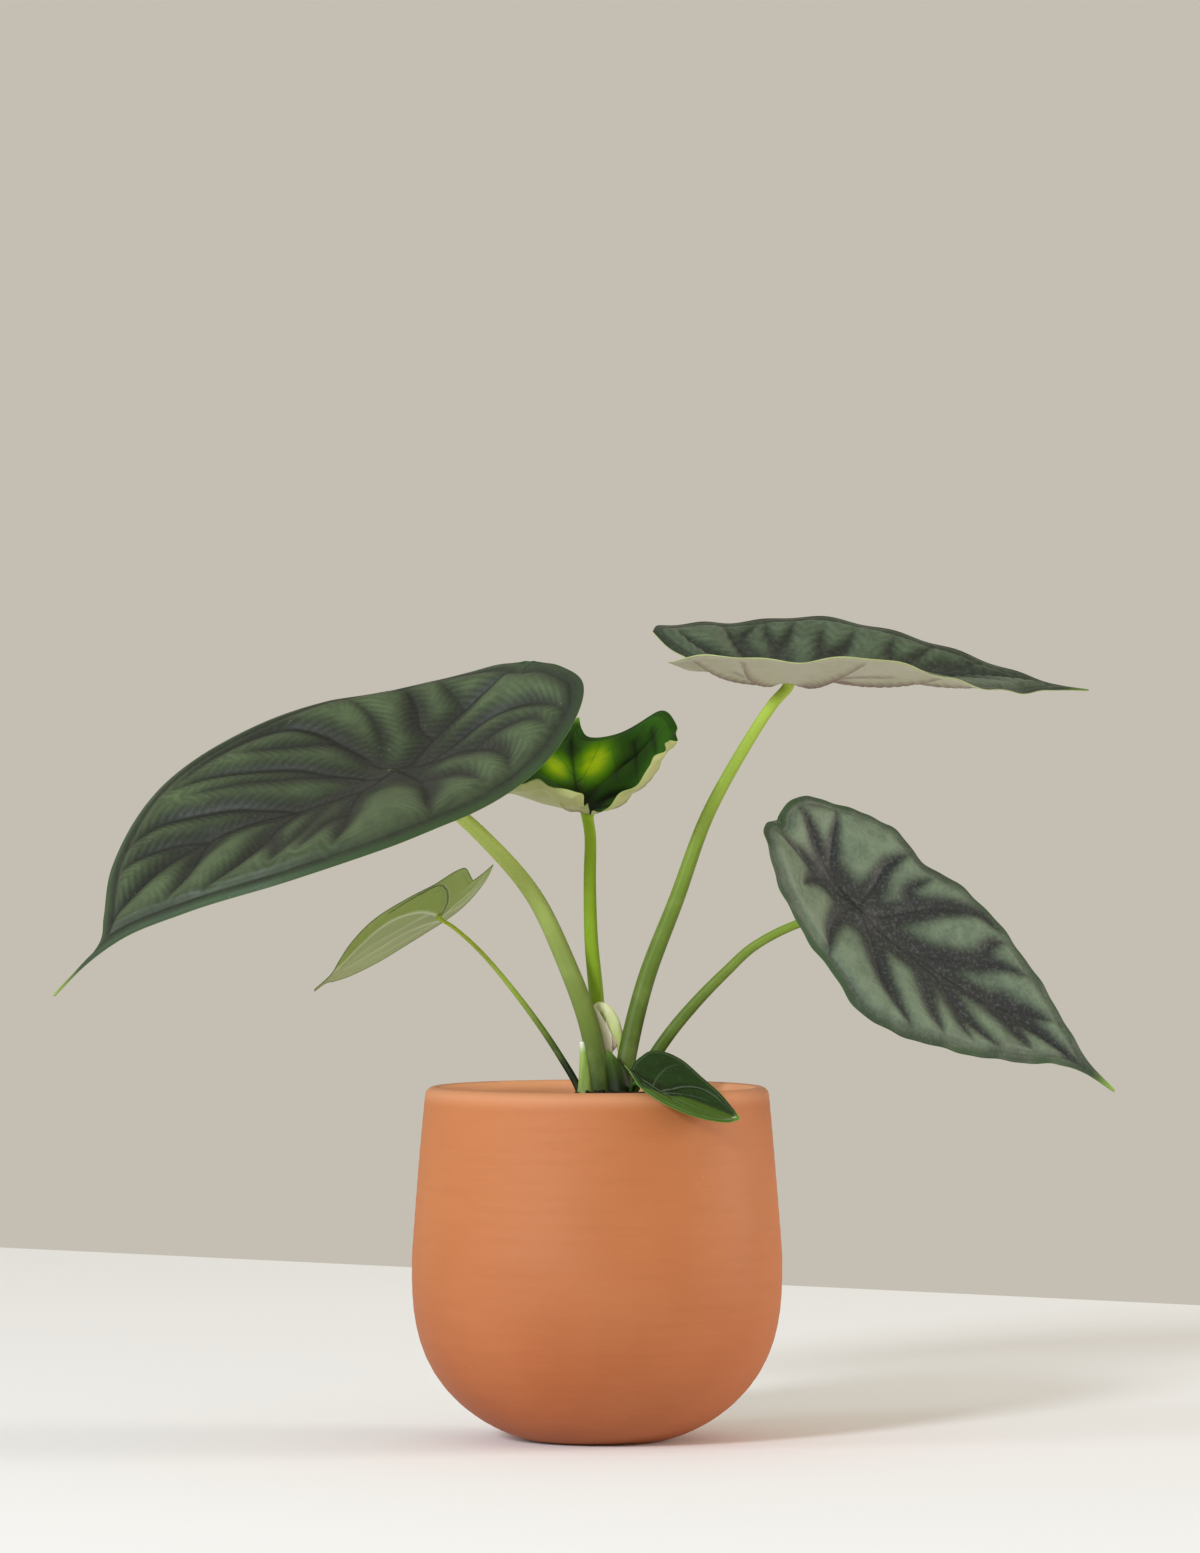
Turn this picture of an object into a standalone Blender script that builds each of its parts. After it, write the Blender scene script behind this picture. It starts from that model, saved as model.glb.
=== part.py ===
"""A potted alocasia: pot, potting mix, corm, roots and six leaves, each on its own stalk.

Metres, +Z up. The origin is the middle of the pot's foot, on the surface it stands on.
Lengths in the tables of leaves and stalks are millimetres, scaled by MM where they are used.
"""

import math

import bmesh
import bpy
import numpy as np
from mathutils import Vector

MM = 0.001
GAP = 0.0003

# Pot
POT_HEIGHT = 0.1335
FOOT_RADIUS = 0.0235
BELLY_RADIUS = 0.070
BELLY_HEIGHT = 0.069
RIM_RADIUS = 0.065
WALL = 0.0072
FLOOR = 0.008
LIP_RISE = 0.0035
HOLE_RADIUS = 0.006
BELLY_POWER = 2.95
BELLY_ROUND = 0.69
SHOULDER_POWER = 1.1
HEEL_SHARE = 0.5
POT_STEPS = 40
OUTSIDE_RINGS = 15
OUTSIDE_CROWDING = 2.0
INSIDE_RINGS = 11
INSIDE_CROWDING = 1.4
LIP_RINGS = 7

# Potting mix
CROWN_BELOW_RIM = 0.0025
SOIL_BELOW_RIM = 0.008
MOUND_TOP_RADIUS = 0.015
MOUND_FOOT_RADIUS = 0.040

# Corm
CORM_X = 0.0035
CORM_RADIUS = 0.0170
CORM_LENGTH = 0.038
CORM_BURIED = 0.006
CORM_HEADROOM = 0.0006
CORM_TAPER = 0.9
CORM_CROWN_SHARE = 0.80
CORM_STEPS = 20

# Roots
ROOT_COUNT = 5
ROOT_RADIUS = 0.0016
ROOT_LEVEL = 0.60
ROOT_TURN = 0.35
ROOT_STUB = 0.004
ROOT_TIP_SHARE = 0.6
ROOT_KNOTS = 10
# A root's bends, as its share of the way out to the wall and of the way down to its tip
ROOT_BENDS = [(0.5, 0.05), (1.0, 0.40), (1.0, 0.75), (1.0, 1.0)]
ROOT_WALL_CLEARANCE = 0.016
ROOT_FLOOR_CLEARANCE = 0.014

# Leaves
BLADE_THICKNESS = 0.0010
SMALL_FRONT_INSET = 0.0063
SMALL_FRONT_RISE = 0.0040
SMALL_FRONT_BEARING = -69.5
SCALE_THICKNESS = 0.0009

CROWN_Z = POT_HEIGHT - CROWN_BELOW_RIM
CORM_TOP = CROWN_Z - CORM_BURIED

MIDRIB_SLANT = 1.15
TWIST_BEHIND = 0.4
SPINE_BEHIND = 1.25
SPINE_AHEAD = 1.02
CURVE_STEPS = 24
OUTLINE_STEPS = 100
SPINE_STEPS = 400
FOLD_STEPS = 24
SMALL_FRONT_REACH = (RIM_RADIUS - SMALL_FRONT_INSET) / MM
SMALL_FRONT_ATTACH = (SMALL_FRONT_REACH * math.cos(math.radians(SMALL_FRONT_BEARING)),
                      SMALL_FRONT_REACH * math.sin(math.radians(SMALL_FRONT_BEARING)),
                      (POT_HEIGHT + SMALL_FRONT_RISE - CROWN_Z) / MM)

# Each leaf: where the blade meets its stalk (x, y, height above the crown), where the blade
# points, how it bends and folds, and its flat outline, from the lobe beside the notch round
# to the drip tip. Angles are degrees; outlines run on the right and left of the midrib.
LEAVES = {
    "large_left": {
        "attach": (-77, -23.5, 123),
        "azimuth": 201,
        "elevation": -16,
        "roll": -21,
        "length": 157.5,
        "notch": 69,
        "lobe_length": 78,
        "half_width": 54,
        "fold": (7, 8),
        "base_fold": (0, -20),
        "curl": (-16, 0),
        "bend": (33, 46),
        "sweep": (-7, -13),
        "twist": 2,
        "right": [(7, -66), (24.5, -60.5), (45.5, -41.5), (52, -7.5), (53.5, 30.5),
                  (48, 72), (29.5, 105.5), (10.5, 122.5), (1, 132), (0.5, 157.5)],
        "left": [(16.5, -73.5), (34, -71.5), (46, -47), (53, -10), (56, 28.5),
                 (46, 69), (25, 103), (8.5, 125), (2.5, 141), (0.5, 157.5)],
        "stalk": {"foot": (1.5, -5), "radii": (4.2, 3.6, 3.0, 2.3), "neck": 4, "points": 18,
                  "route": [(-2.5, -5, 24), (-11.5, -8, 49), (-24, -12, 75), (-41, -17, 95),
                            (-57, -21, 109)]},
        "grid": (18, 10),
    },
    "back": {
        "attach": (-3.5, 1, 107),
        "azimuth": 95,
        "elevation": 24,
        "roll": -1,
        "length": 89.5,
        "notch": 7,
        "lobe_length": 36,
        "half_width": 36,
        "fold": (15, 22),
        "base_fold": (11, 5),
        "curl": (-6, 28),
        "bend": (2, 35),
        "sweep": (4, -7),
        "twist": -5,
        "right": [(12.5, -29.5), (23, -31), (34.5, -21.5), (41.5, -4.5), (44, 17),
                  (37.5, 39), (16.5, 52.5), (4.5, 65), (1.5, 76.5), (0.5, 89.5)],
        "left": [(11, -39.5), (22.5, -38), (31.5, -24.5), (35, -7.5), (29, 12),
                 (20, 34.5), (11.5, 56), (6, 70), (3, 79.5), (0.5, 89.5)],
        "stalk": {"foot": (2.5, 5), "radii": (3.0, 2.6, 2.2, 2.0), "neck": 3, "points": 12,
                  "route": [(0.5, 5.5, 36), (-1.5, 4.5, 58), (-2.5, 3.5, 80), (-2.5, 2, 97)]},
        "grid": (14, 10),
    },
    "high_right": {
        "attach": (73, 20, 158),
        "azimuth": 10,
        "elevation": 2,
        "roll": 18,
        "length": 118.5,
        "notch": 32.5,
        "lobe_length": 54,
        "half_width": 42,
        "fold": (10, 3),
        "base_fold": (3, 5),
        "curl": (9, 39),
        "bend": (10, 16),
        "sweep": (1, 4),
        "twist": 11,
        "right": [(7, -48.5), (23.5, -47), (37.5, -31.5), (44, -6), (50.5, 22),
                  (39, 52.5), (21.5, 79.5), (8.5, 97), (3, 108), (0.5, 118.5)],
        "left": [(20.5, -51.5), (28, -49), (36, -33), (40.5, -9), (40.5, 18),
                 (28.5, 48.5), (14, 76.5), (4.5, 95.5), (1, 107), (0.5, 118.5)],
        "stalk": {"foot": (9.5, -1), "radii": (3.8, 3.2, 2.5, 2.0), "neck": 4, "points": 18,
                  "route": [(10.5, 0, 13.5), (17, 3, 43), (28.5, 8, 73.5), (40, 12, 105), (56, 17, 133.5),
                            (65.5, 18.5, 147)]},
        "grid": (16, 10),
    },
    "low_right": {
        "attach": (99.5, -3.5, 69),
        "azimuth": 7,
        "elevation": -35,
        "roll": 54,
        "length": 120.5,
        "notch": 48,
        "lobe_length": 52,
        "half_width": 39,
        "fold": (9, 12),
        "base_fold": (-4, 15),
        "curl": (-10, -8),
        "bend": (5, 26),
        "sweep": (-3, 9),
        "twist": 8,
        "right": [(10.5, -53.5), (23.5, -48.5), (28, -29.5), (36, -5.5), (44, 21),
                  (33.5, 52), (18, 79), (6.5, 94.5), (1.5, 105), (0.5, 120.5)],
        "left": [(11.5, -51), (21, -46), (32.5, -30.5), (39.5, -7.5), (35, 19),
                 (30.5, 51.5), (18, 79), (8.5, 96), (3.5, 106.5), (0.5, 120.5)],
        "stalk": {"foot": (13, 5), "radii": (2.45, 2.1, 1.6, 1.3), "neck": 3, "points": 16,
                  "route": [(20, 4, 10), (29.5, 3, 22.5), (38, 1.5, 34.5), (49, 0, 46), (60.5, -1, 54.5),
                            (78.5, -2, 64)]},
        "grid": (16, 10),
    },
    "small_left": {
        "attach": (-62.5, 9.5, 69),
        "azimuth": 190,
        "elevation": -27,
        "roll": 54,
        "length": 55.5,
        "notch": 19.5,
        "lobe_length": 25,
        "half_width": 20,
        "fold": (-1, 21),
        "base_fold": (-3, 5),
        "curl": (-28, 5),
        "bend": (17, 22),
        "sweep": (3, 10),
        "twist": -1,
        "right": [(5.5, -31.5), (10, -26), (13, -16), (13.5, -3.5), (15.5, 10),
                  (15.5, 24.5), (11, 37.5), (5.5, 45.5), (1.5, 50), (0.5, 55.5)],
        "left": [(7, -19.5), (9.5, -18.5), (12.5, -13), (13, -3), (13.5, 9),
                 (13, 23), (8.5, 34.5), (4, 41.5), (1, 46.5), (0.5, 55.5)],
        "stalk": {"foot": (-6.5, 1.5), "radii": (1.45, 1.2, 0.9, 0.75), "neck": 2.5, "points": 14,
                  "route": [(-14.5, 3, 14.5), (-28.5, 5, 34.5), (-44, 7, 53), (-54, 8.5, 62)]},
        "grid": (10, 6),
    },
    "small_front": {
        "attach": SMALL_FRONT_ATTACH,
        "azimuth": -8,
        "elevation": -20,
        "roll": 31,
        "length": 35,
        "notch": 9.5,
        "lobe_length": 11.5,
        "half_width": 12,
        "fold": (17, 13),
        "base_fold": (1, 16),
        "curl": (3, -5),
        "bend": (12, 25),
        "sweep": (-4, 2),
        "twist": 8,
        "right": [(3, -12.5), (5.5, -9.5), (8.5, -5.5), (10.5, 0), (13, 7.5),
                  (12.5, 17.5), (9, 26.5), (5, 32), (2, 34), (0.5, 35)],
        "left": [(3, -10), (7.5, -9), (12, -7), (14.5, -2), (14, 6),
                 (10, 16), (6.5, 25), (3.5, 30.5), (2, 33), (0.5, 35)],
        "stalk": {"foot": (13, -7), "radii": (1.2, 1.1, 0.9), "neck": 1.5, "points": 12,
                  "route": [(14, -12, 3.5), (17, -32, 4.5), (19.5, -47, 4.5)]},
        "grid": (10, 6),
    },
}

# Scale leaves: sheets wrapped part way round an upright line, in millimetres and degrees.
SCALES = {
    "bract_left": {"foot": (-4.4, -5.5), "radius": 2.3, "close": 0.5, "facing": 205, "wrap": 165,
                   "height": 21, "lean": (-2.6, -1.2), "taper": 2.0, "tip": 0.12, "grid": (6, 5)},
    "sheath_front": {"foot": (7.4, -8.4), "radius": 2.6, "close": 0.3, "facing": 285, "wrap": 110,
                     "height": 15, "lean": (-0.5, -1.2), "taper": 2.2, "tip": 0.15, "grid": (6, 5)},
    "sheath_pale": {"foot": (2.5, 5), "radius": 4.3, "close": 0.0, "facing": 20, "wrap": 200,
                    "height": 33, "lean": (-1.5, 1), "taper": 3.0, "tip": 0.30, "grid": (8, 8)},
}


def smooth_line(points, count):
    """Count points spaced evenly along a smooth curve through the given points."""
    knots = np.asarray(points, float)
    ends = np.vstack([2 * knots[0] - knots[1], knots, 2 * knots[-1] - knots[-2]])
    samples = []
    for before, start, end, after in zip(ends, ends[1:], ends[2:], ends[3:]):
        t0 = 0.0
        t1 = t0 + math.sqrt(np.linalg.norm(start - before))
        t2 = t1 + math.sqrt(np.linalg.norm(end - start))
        t3 = t2 + math.sqrt(np.linalg.norm(after - end))
        t = np.linspace(t1, t2, CURVE_STEPS, endpoint=False)[:, None]
        a = (before * (t1 - t) + start * (t - t0)) / (t1 - t0)
        b = (start * (t2 - t) + end * (t - t1)) / (t2 - t1)
        c = (end * (t3 - t) + after * (t - t2)) / (t3 - t2)
        d = (a * (t2 - t) + b * (t - t0)) / (t2 - t0)
        e = (b * (t3 - t) + c * (t - t1)) / (t3 - t1)
        samples.append((d * (t2 - t) + e * (t - t1)) / (t2 - t1))
    curve = np.vstack(samples + [knots[-1:]])
    travelled = np.r_[0, np.cumsum(np.linalg.norm(np.diff(curve, axis=0), axis=1))]
    stops = np.linspace(0, travelled[-1], count)
    return np.stack([np.interp(stops, travelled, axis) for axis in curve.T], axis=1)


def ease(t):
    """0 to 1 with a level start and end."""
    t = np.clip(t, 0, 1)
    return t * t * (3 - 2 * t)


def blade_surface(leaf, along, across):
    """Points of a blade's middle surface; along is 0 to 1 base to tip, across is -1 to 1."""
    right = smooth_line(leaf["right"], OUTLINE_STEPS)
    left = smooth_line(leaf["left"], OUTLINE_STEPS)
    step = np.linspace(0, 1, OUTLINE_STEPS)
    side = across >= 0
    edge_x = np.where(side, np.interp(along, step, right[:, 0]), np.interp(along, step, left[:, 0]))
    right_y = np.interp(along, step, right[:, 1])
    left_y = np.interp(along, step, left[:, 1])
    edge_y = np.where(side, right_y, left_y)
    first = (right[0, 1] + left[0, 1]) / 2
    length = leaf["length"]
    share = np.clip(((right_y + left_y) / 2 - first) / (length - first), 0, 1)
    mid_y = -leaf["notch"] + (length + leaf["notch"]) * share ** MIDRIB_SLANT
    x = across * edge_x
    y = mid_y + np.abs(across) * (edge_y - mid_y)
    return bent_sheet(leaf, x, y)


def bent_sheet(leaf, x, y):
    """Leaf-plane points x, y carried onto the bent, folded and curled blade, in millimetres."""
    length = leaf["length"]
    base = leaf["lobe_length"]
    width = leaf["half_width"]
    run = np.linspace(-SPINE_BEHIND * base, SPINE_AHEAD * length, SPINE_STEPS)
    forward = np.clip(run, 0, None) / length
    backward = np.clip(-run, 0, None) / base
    tip_bend, base_bend = (math.radians(a) for a in leaf["bend"])
    tip_sweep, base_sweep = (math.radians(a) for a in leaf["sweep"])
    pitch = -tip_bend * forward - base_bend * backward
    yaw = tip_sweep * forward + base_sweep * backward
    step = run[1] - run[0]
    spine = np.stack([np.cumsum(np.cos(pitch) * np.sin(yaw)),
                      np.cumsum(np.cos(pitch) * np.cos(yaw)),
                      np.cumsum(np.sin(pitch))], axis=1) * step
    spine -= [np.interp(0, run, axis) for axis in spine.T]
    middle = np.stack([np.interp(y, run, axis) for axis in spine.T], axis=-1)
    pitch = np.interp(y, run, pitch)
    yaw = np.interp(y, run, yaw)
    ahead = np.stack([np.cos(pitch) * np.sin(yaw), np.cos(pitch) * np.cos(yaw), np.sin(pitch)], axis=-1)
    aside = np.stack([np.cos(yaw), -np.sin(yaw), 0 * yaw], axis=-1)
    up = np.cross(aside, ahead)
    near_base = ease(-y / base)
    reach = np.abs(x) / width
    side = (x >= 0).astype(int)
    fold = np.radians(leaf["fold"])[side] + np.radians(leaf["base_fold"])[side] * near_base
    curl = np.radians(leaf["curl"])[side]
    out = np.zeros_like(reach)
    rise = np.zeros_like(reach)
    for step_out in (np.arange(FOLD_STEPS) + 0.5) / FOLD_STEPS:
        slope = fold + curl * reach * step_out
        out += np.cos(slope) * x / FOLD_STEPS
        rise += np.sin(slope) * np.abs(x) / FOLD_STEPS
    points = middle + out[..., None] * aside + rise[..., None] * up
    twist = math.radians(leaf["twist"]) * np.clip(y / length, -TWIST_BEHIND, 1)
    turned_x = np.cos(twist) * points[..., 0] + np.sin(twist) * points[..., 2]
    turned_z = -np.sin(twist) * points[..., 0] + np.cos(twist) * points[..., 2]
    return np.stack([turned_x, points[..., 1], turned_z], axis=-1)


def blade_axes(leaf):
    """Unit vectors to the blade's right, towards its tip, and out of its upper face."""
    azimuth, elevation, roll = (math.radians(leaf[k]) for k in ("azimuth", "elevation", "roll"))
    level = math.cos(elevation)
    ahead = np.array([level * math.cos(azimuth), level * math.sin(azimuth), math.sin(elevation)])
    upright = np.array([-math.sin(elevation) * math.cos(azimuth),
                        -math.sin(elevation) * math.sin(azimuth), level])
    up = math.cos(roll) * upright + math.sin(roll) * np.cross(ahead, upright)
    return np.cross(ahead, up), ahead, up


def attach_point(leaf):
    """Where the stalk meets the blade, in metres."""
    x, y, rise = leaf["attach"]
    return np.array([x * MM, y * MM, CROWN_Z + rise * MM])


def new_material(name, colour, roughness):
    material = bpy.data.materials.new(name)
    material.use_nodes = True
    shader = material.node_tree.nodes["Principled BSDF"]
    shader.inputs["Base Color"].default_value = (*colour, 1.0)
    shader.inputs["Roughness"].default_value = roughness
    shader.inputs["Metallic"].default_value = 0.0
    return material


def new_collection(name):
    collection = bpy.data.collections.new(name)
    bpy.context.scene.collection.children.link(collection)
    return collection


def add_mesh(name, mesh, collection, material):
    obj = bpy.data.objects.new(name, mesh)
    collection.objects.link(obj)
    if material:
        mesh.materials.append(material)
    return obj


def turned(name, profile, steps, collection, material, centre_x=0.0):
    """A closed profile of (radius, z) points turned once about an upright axis."""
    mesh = bpy.data.meshes.new(name)
    bm = bmesh.new()
    corners = [bm.verts.new((radius, 0, z)) for radius, z in profile]
    for start, end in zip(corners, corners[1:]):
        bm.edges.new((start, end))
    if profile[0][0] > 0:
        bm.edges.new((corners[-1], corners[0]))
    bm.to_mesh(mesh)
    bm.free()
    obj = add_mesh(name, mesh, collection, material)
    obj.location.x = centre_x
    screw = obj.modifiers.new("Turn", "SCREW")
    screw.steps = steps
    screw.render_steps = steps
    screw.use_merge_vertices = True
    screw.merge_threshold = 0.00005
    screw.use_smooth_shade = True
    return obj


def as_mesh(obj):
    """Replace a curve by the closed mesh it makes, with its caps welded on."""
    bpy.context.view_layer.update()
    graph = bpy.context.evaluated_depsgraph_get()
    mesh = bpy.data.meshes.new_from_object(obj.evaluated_get(graph))
    bm = bmesh.new()
    bm.from_mesh(mesh)
    bmesh.ops.remove_doubles(bm, verts=bm.verts, dist=0.00001)
    bm.to_mesh(mesh)
    bm.free()
    name = obj.name
    place = obj.matrix_world.copy()
    collection = obj.users_collection[0]
    bpy.data.objects.remove(obj)
    solid = bpy.data.objects.new(name, mesh)
    solid.matrix_world = place
    collection.objects.link(solid)
    return solid


def tube(name, points, radii, collection, material, grow=0.0):
    """A round rod along the points, tapering through the radii, both in metres."""
    curve = bpy.data.curves.new(name, "CURVE")
    curve.dimensions = "3D"
    curve.bevel_depth = 1.0
    curve.bevel_resolution = 2
    curve.use_fill_caps = True
    spline = curve.splines.new("POLY")
    spline.points.add(len(points) - 1)
    thickness = np.interp(np.linspace(0, 1, len(points)), np.linspace(0, 1, len(radii)), radii)
    for knot, place, radius in zip(spline.points, points, thickness):
        knot.co = (*place, 1.0)
        knot.radius = radius + grow
    obj = bpy.data.objects.new(name, curve)
    collection.objects.link(obj)
    if material:
        curve.materials.append(material)
    return obj


def make_cutter(obj, cutters):
    """A closed solid that only cuts: it is drawn as a wire and left out of the model."""
    for collection in list(obj.users_collection):
        collection.objects.unlink(obj)
    cutters.objects.link(obj)
    obj.hide_render = True
    obj.display_type = "WIRE"
    return obj


def cut(obj, cutter):
    boolean = obj.modifiers.new("Cut " + cutter.name, "BOOLEAN")
    boolean.operation = "DIFFERENCE"
    boolean.solver = "EXACT"
    boolean.object = cutter


def outer_radius(z):
    """Outside radius of the pot at a height, foot to rim."""
    if z < BELLY_HEIGHT:
        swell = (1 - (1 - z / BELLY_HEIGHT) ** BELLY_POWER) ** BELLY_ROUND
        return FOOT_RADIUS + (BELLY_RADIUS - FOOT_RADIUS) * swell
    share = (z - BELLY_HEIGHT) / (POT_HEIGHT - LIP_RISE - BELLY_HEIGHT)
    return BELLY_RADIUS - (BELLY_RADIUS - RIM_RADIUS) * min(share, 1) ** SHOULDER_POWER


def inner_radius(z):
    """Inside radius of the pot at a height, drawn in above the floor so that the heel stays thick."""
    heel = HEEL_SHARE * FLOOR * max(0, 1 - z / BELLY_HEIGHT)
    return outer_radius(z - heel) - WALL


def wall_levels():
    """Heights of the rings of the pot's inner wall, closer together near the floor."""
    return FLOOR + (POT_HEIGHT - LIP_RISE - FLOOR) * np.linspace(0, 1, INSIDE_RINGS) ** INSIDE_CROWDING


def wall_radius(z):
    """Inner radius on the straight runs between the inner wall's rings."""
    levels = wall_levels()
    return float(np.interp(z, levels, [inner_radius(level) for level in levels]))


def mix_height(radius):
    """Height of the soil's surface at a distance from the middle of the pot."""
    edge = POT_HEIGHT - SOIL_BELOW_RIM
    share = (radius - MOUND_TOP_RADIUS) / (MOUND_FOOT_RADIUS - MOUND_TOP_RADIUS)
    return CROWN_Z - (CROWN_Z - edge) * float(ease(share))


def corm_radius(z):
    """Radius of the corm: a flat crown on a body that narrows to a blunt lower end."""
    depth = (CORM_TOP - z) / CORM_LENGTH
    swell = CORM_CROWN_SHARE + (1 - CORM_CROWN_SHARE) * math.sin(math.pi * depth)
    return CORM_RADIUS * math.sqrt(1 - CORM_TAPER * depth ** 2) * swell


def build_pot(collection, material):
    lip_z = POT_HEIGHT - LIP_RISE
    levels = lip_z * np.linspace(1, 0, OUTSIDE_RINGS) ** OUTSIDE_CROWDING
    outside = [(outer_radius(z), z) for z in levels]
    inside = [(inner_radius(z), z) for z in wall_levels()]
    middle = RIM_RADIUS - WALL / 2
    lip = [(middle - WALL / 2 * math.cos(a), lip_z + LIP_RISE * math.sin(a))
           for a in np.linspace(0, math.pi, LIP_RINGS)[1:-1]]
    profile = outside + [(HOLE_RADIUS, 0), (HOLE_RADIUS, FLOOR)] + inside + lip
    return turned("pot", profile, POT_STEPS, collection, material)


def stalk_points(leaf, count):
    """The stalk's centre line from the corm's crown to just under the blade, in metres."""
    stalk = leaf["stalk"]
    foot_x, foot_y = stalk["foot"]
    bottom = np.array([foot_x * MM, foot_y * MM, CORM_TOP + GAP])
    soil = np.array([foot_x * MM, foot_y * MM, CROWN_Z])
    right, ahead, up = blade_axes(leaf)
    top = attach_point(leaf) - up * (BLADE_THICKNESS / 2 + GAP)
    neck = top - up * stalk["neck"] * MM
    route = [np.array([x * MM, y * MM, CROWN_Z + z * MM]) for x, y, z in stalk["route"]]
    return np.vstack([bottom, smooth_line([soil] + route + [neck], count), top])


def build_stalk(name, leaf, collection, material, cutters):
    radii = [radius * MM for radius in leaf["stalk"]["radii"]]
    count = leaf["stalk"]["points"]
    tube("petiole_" + name, stalk_points(leaf, count), radii, collection, material)
    sleeve = tube("socket_" + name, stalk_points(leaf, count), radii, cutters, None, grow=GAP)
    return make_cutter(as_mesh(sleeve), cutters)


def build_blade(name, leaf, collection, material):
    """A flat grid carried onto the bent leaf, then given its thickness."""
    rows, columns = leaf["grid"]
    mesh = bpy.data.meshes.new("blade_" + name)
    bm = bmesh.new()
    bmesh.ops.create_grid(bm, x_segments=columns, y_segments=rows, size=1.0)
    verts = list(bm.verts)
    across = np.array([vert.co.x for vert in verts])
    along = np.array([(vert.co.y + 1) / 2 for vert in verts])
    shape = blade_surface(leaf, along, across)
    right, ahead, up = blade_axes(leaf)
    places = attach_point(leaf) + MM * (shape[:, :1] * right + shape[:, 1:2] * ahead + shape[:, 2:] * up)
    for vert, place in zip(verts, places):
        vert.co = place
    bmesh.ops.recalc_face_normals(bm, faces=bm.faces)
    for face in bm.faces:
        face.smooth = True
    bm.to_mesh(mesh)
    bm.free()
    obj = add_mesh("blade_" + name, mesh, collection, material)
    solid = obj.modifiers.new("Thickness", "SOLIDIFY")
    solid.thickness = BLADE_THICKNESS
    solid.offset = 0.0
    return obj


def build_scale(name, scale, collection, material):
    """A pointed scale leaf: a sheet wrapped part way round an upright line, narrowing upwards."""
    rows, columns = scale["grid"]
    mesh = bpy.data.meshes.new(name)
    bm = bmesh.new()
    bmesh.ops.create_grid(bm, x_segments=columns, y_segments=rows, size=1.0)
    x, y = scale["foot"]
    lean_x, lean_y = scale["lean"]
    facing = math.radians(scale["facing"])
    wrap = math.radians(scale["wrap"])
    for vert in bm.verts:
        rise = (vert.co.y + 1) / 2
        narrow = (1 - rise ** scale["taper"]) * (1 - scale["tip"]) + scale["tip"]
        angle = facing + wrap / 2 * vert.co.x * narrow
        radius = scale["radius"] * (1 - scale["close"] * rise)
        vert.co = (MM * (x + lean_x * rise ** 2 + radius * math.cos(angle)),
                   MM * (y + lean_y * rise ** 2 + radius * math.sin(angle)),
                   CROWN_Z + GAP + SCALE_THICKNESS / 2 + MM * scale["height"] * rise)
    for face in bm.faces:
        face.smooth = True
    bm.to_mesh(mesh)
    bm.free()
    obj = add_mesh(name, mesh, collection, material)
    solid = obj.modifiers.new("Thickness", "SOLIDIFY")
    solid.thickness = SCALE_THICKNESS
    solid.offset = 0.0
    return obj


def corm_profile(side_gap, top_gap):
    """Half outline of the corm from the crown down, grown by a clearance round and above it."""
    heights = CORM_TOP - CORM_LENGTH * np.linspace(0, 1, 8)
    top = CORM_TOP + top_gap
    bottom = heights[-1] - side_gap
    side = [(corm_radius(z) + side_gap, z) for z in heights[1:-1]]
    lowest = corm_radius(heights[-1]) + side_gap
    return [(0, top), (corm_radius(CORM_TOP) + side_gap, top)] + side + [(lowest, bottom), (0, bottom)]


def root_points(index):
    """A root's centre line: out of the corm's side, then down along the pot's wall."""
    bearing = 2 * math.pi * (index + ROOT_TURN) / ROOT_COUNT
    level = CORM_TOP - CORM_LENGTH * ROOT_LEVEL
    start = corm_radius(level + ROOT_RADIUS) + GAP
    drop = level - FLOOR - ROOT_FLOOR_CLEARANCE
    outward = Vector((math.cos(bearing), math.sin(bearing), 0))
    knots = [(start, level), (start + ROOT_STUB, level)]
    for out, down in ROOT_BENDS:
        z = level - down * drop
        reach = inner_radius(z) - ROOT_WALL_CLEARANCE
        knots.append((start + out * (reach - start), z))
    points = [Vector((CORM_X, 0, z)) + outward * distance for distance, z in knots]
    return smooth_line(points, ROOT_KNOTS)


def build_corm_and_roots(collection, corm_material, root_material, cutters):
    turned("corm", corm_profile(0, 0), CORM_STEPS, collection, corm_material, CORM_X)
    pocket = turned("corm_pocket", corm_profile(GAP, CORM_HEADROOM), CORM_STEPS, cutters, None, CORM_X)
    hollows = [make_cutter(pocket, cutters)]
    for index in range(ROOT_COUNT):
        points = root_points(index)
        radii = [ROOT_RADIUS, ROOT_RADIUS, ROOT_TIP_SHARE * ROOT_RADIUS]
        tube(f"root_{index + 1}", points, radii, collection, root_material)
        channel = list(points)
        channel[0] = channel[0] - (channel[1] - channel[0])
        sleeve = tube(f"root_channel_{index + 1}", channel, radii, cutters, None, grow=GAP)
        hollows.append(make_cutter(as_mesh(sleeve), cutters))
    return hollows


def build_mix(collection, material):
    """Soil filling the pot, mounded round the crown."""
    bottom = FLOOR + GAP
    edge = mix_height(RIM_RADIUS)
    surface = [(radius, mix_height(radius)) for radius in np.linspace(0, wall_radius(edge) - GAP, 7)]
    levels = [z for z in wall_levels()[::-1] if bottom < z < edge - WALL] + [bottom]
    side = [(wall_radius(z) - GAP, z) for z in levels]
    return turned("potting_mix", surface + side + [(0, bottom)], POT_STEPS, collection, material)


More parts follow.
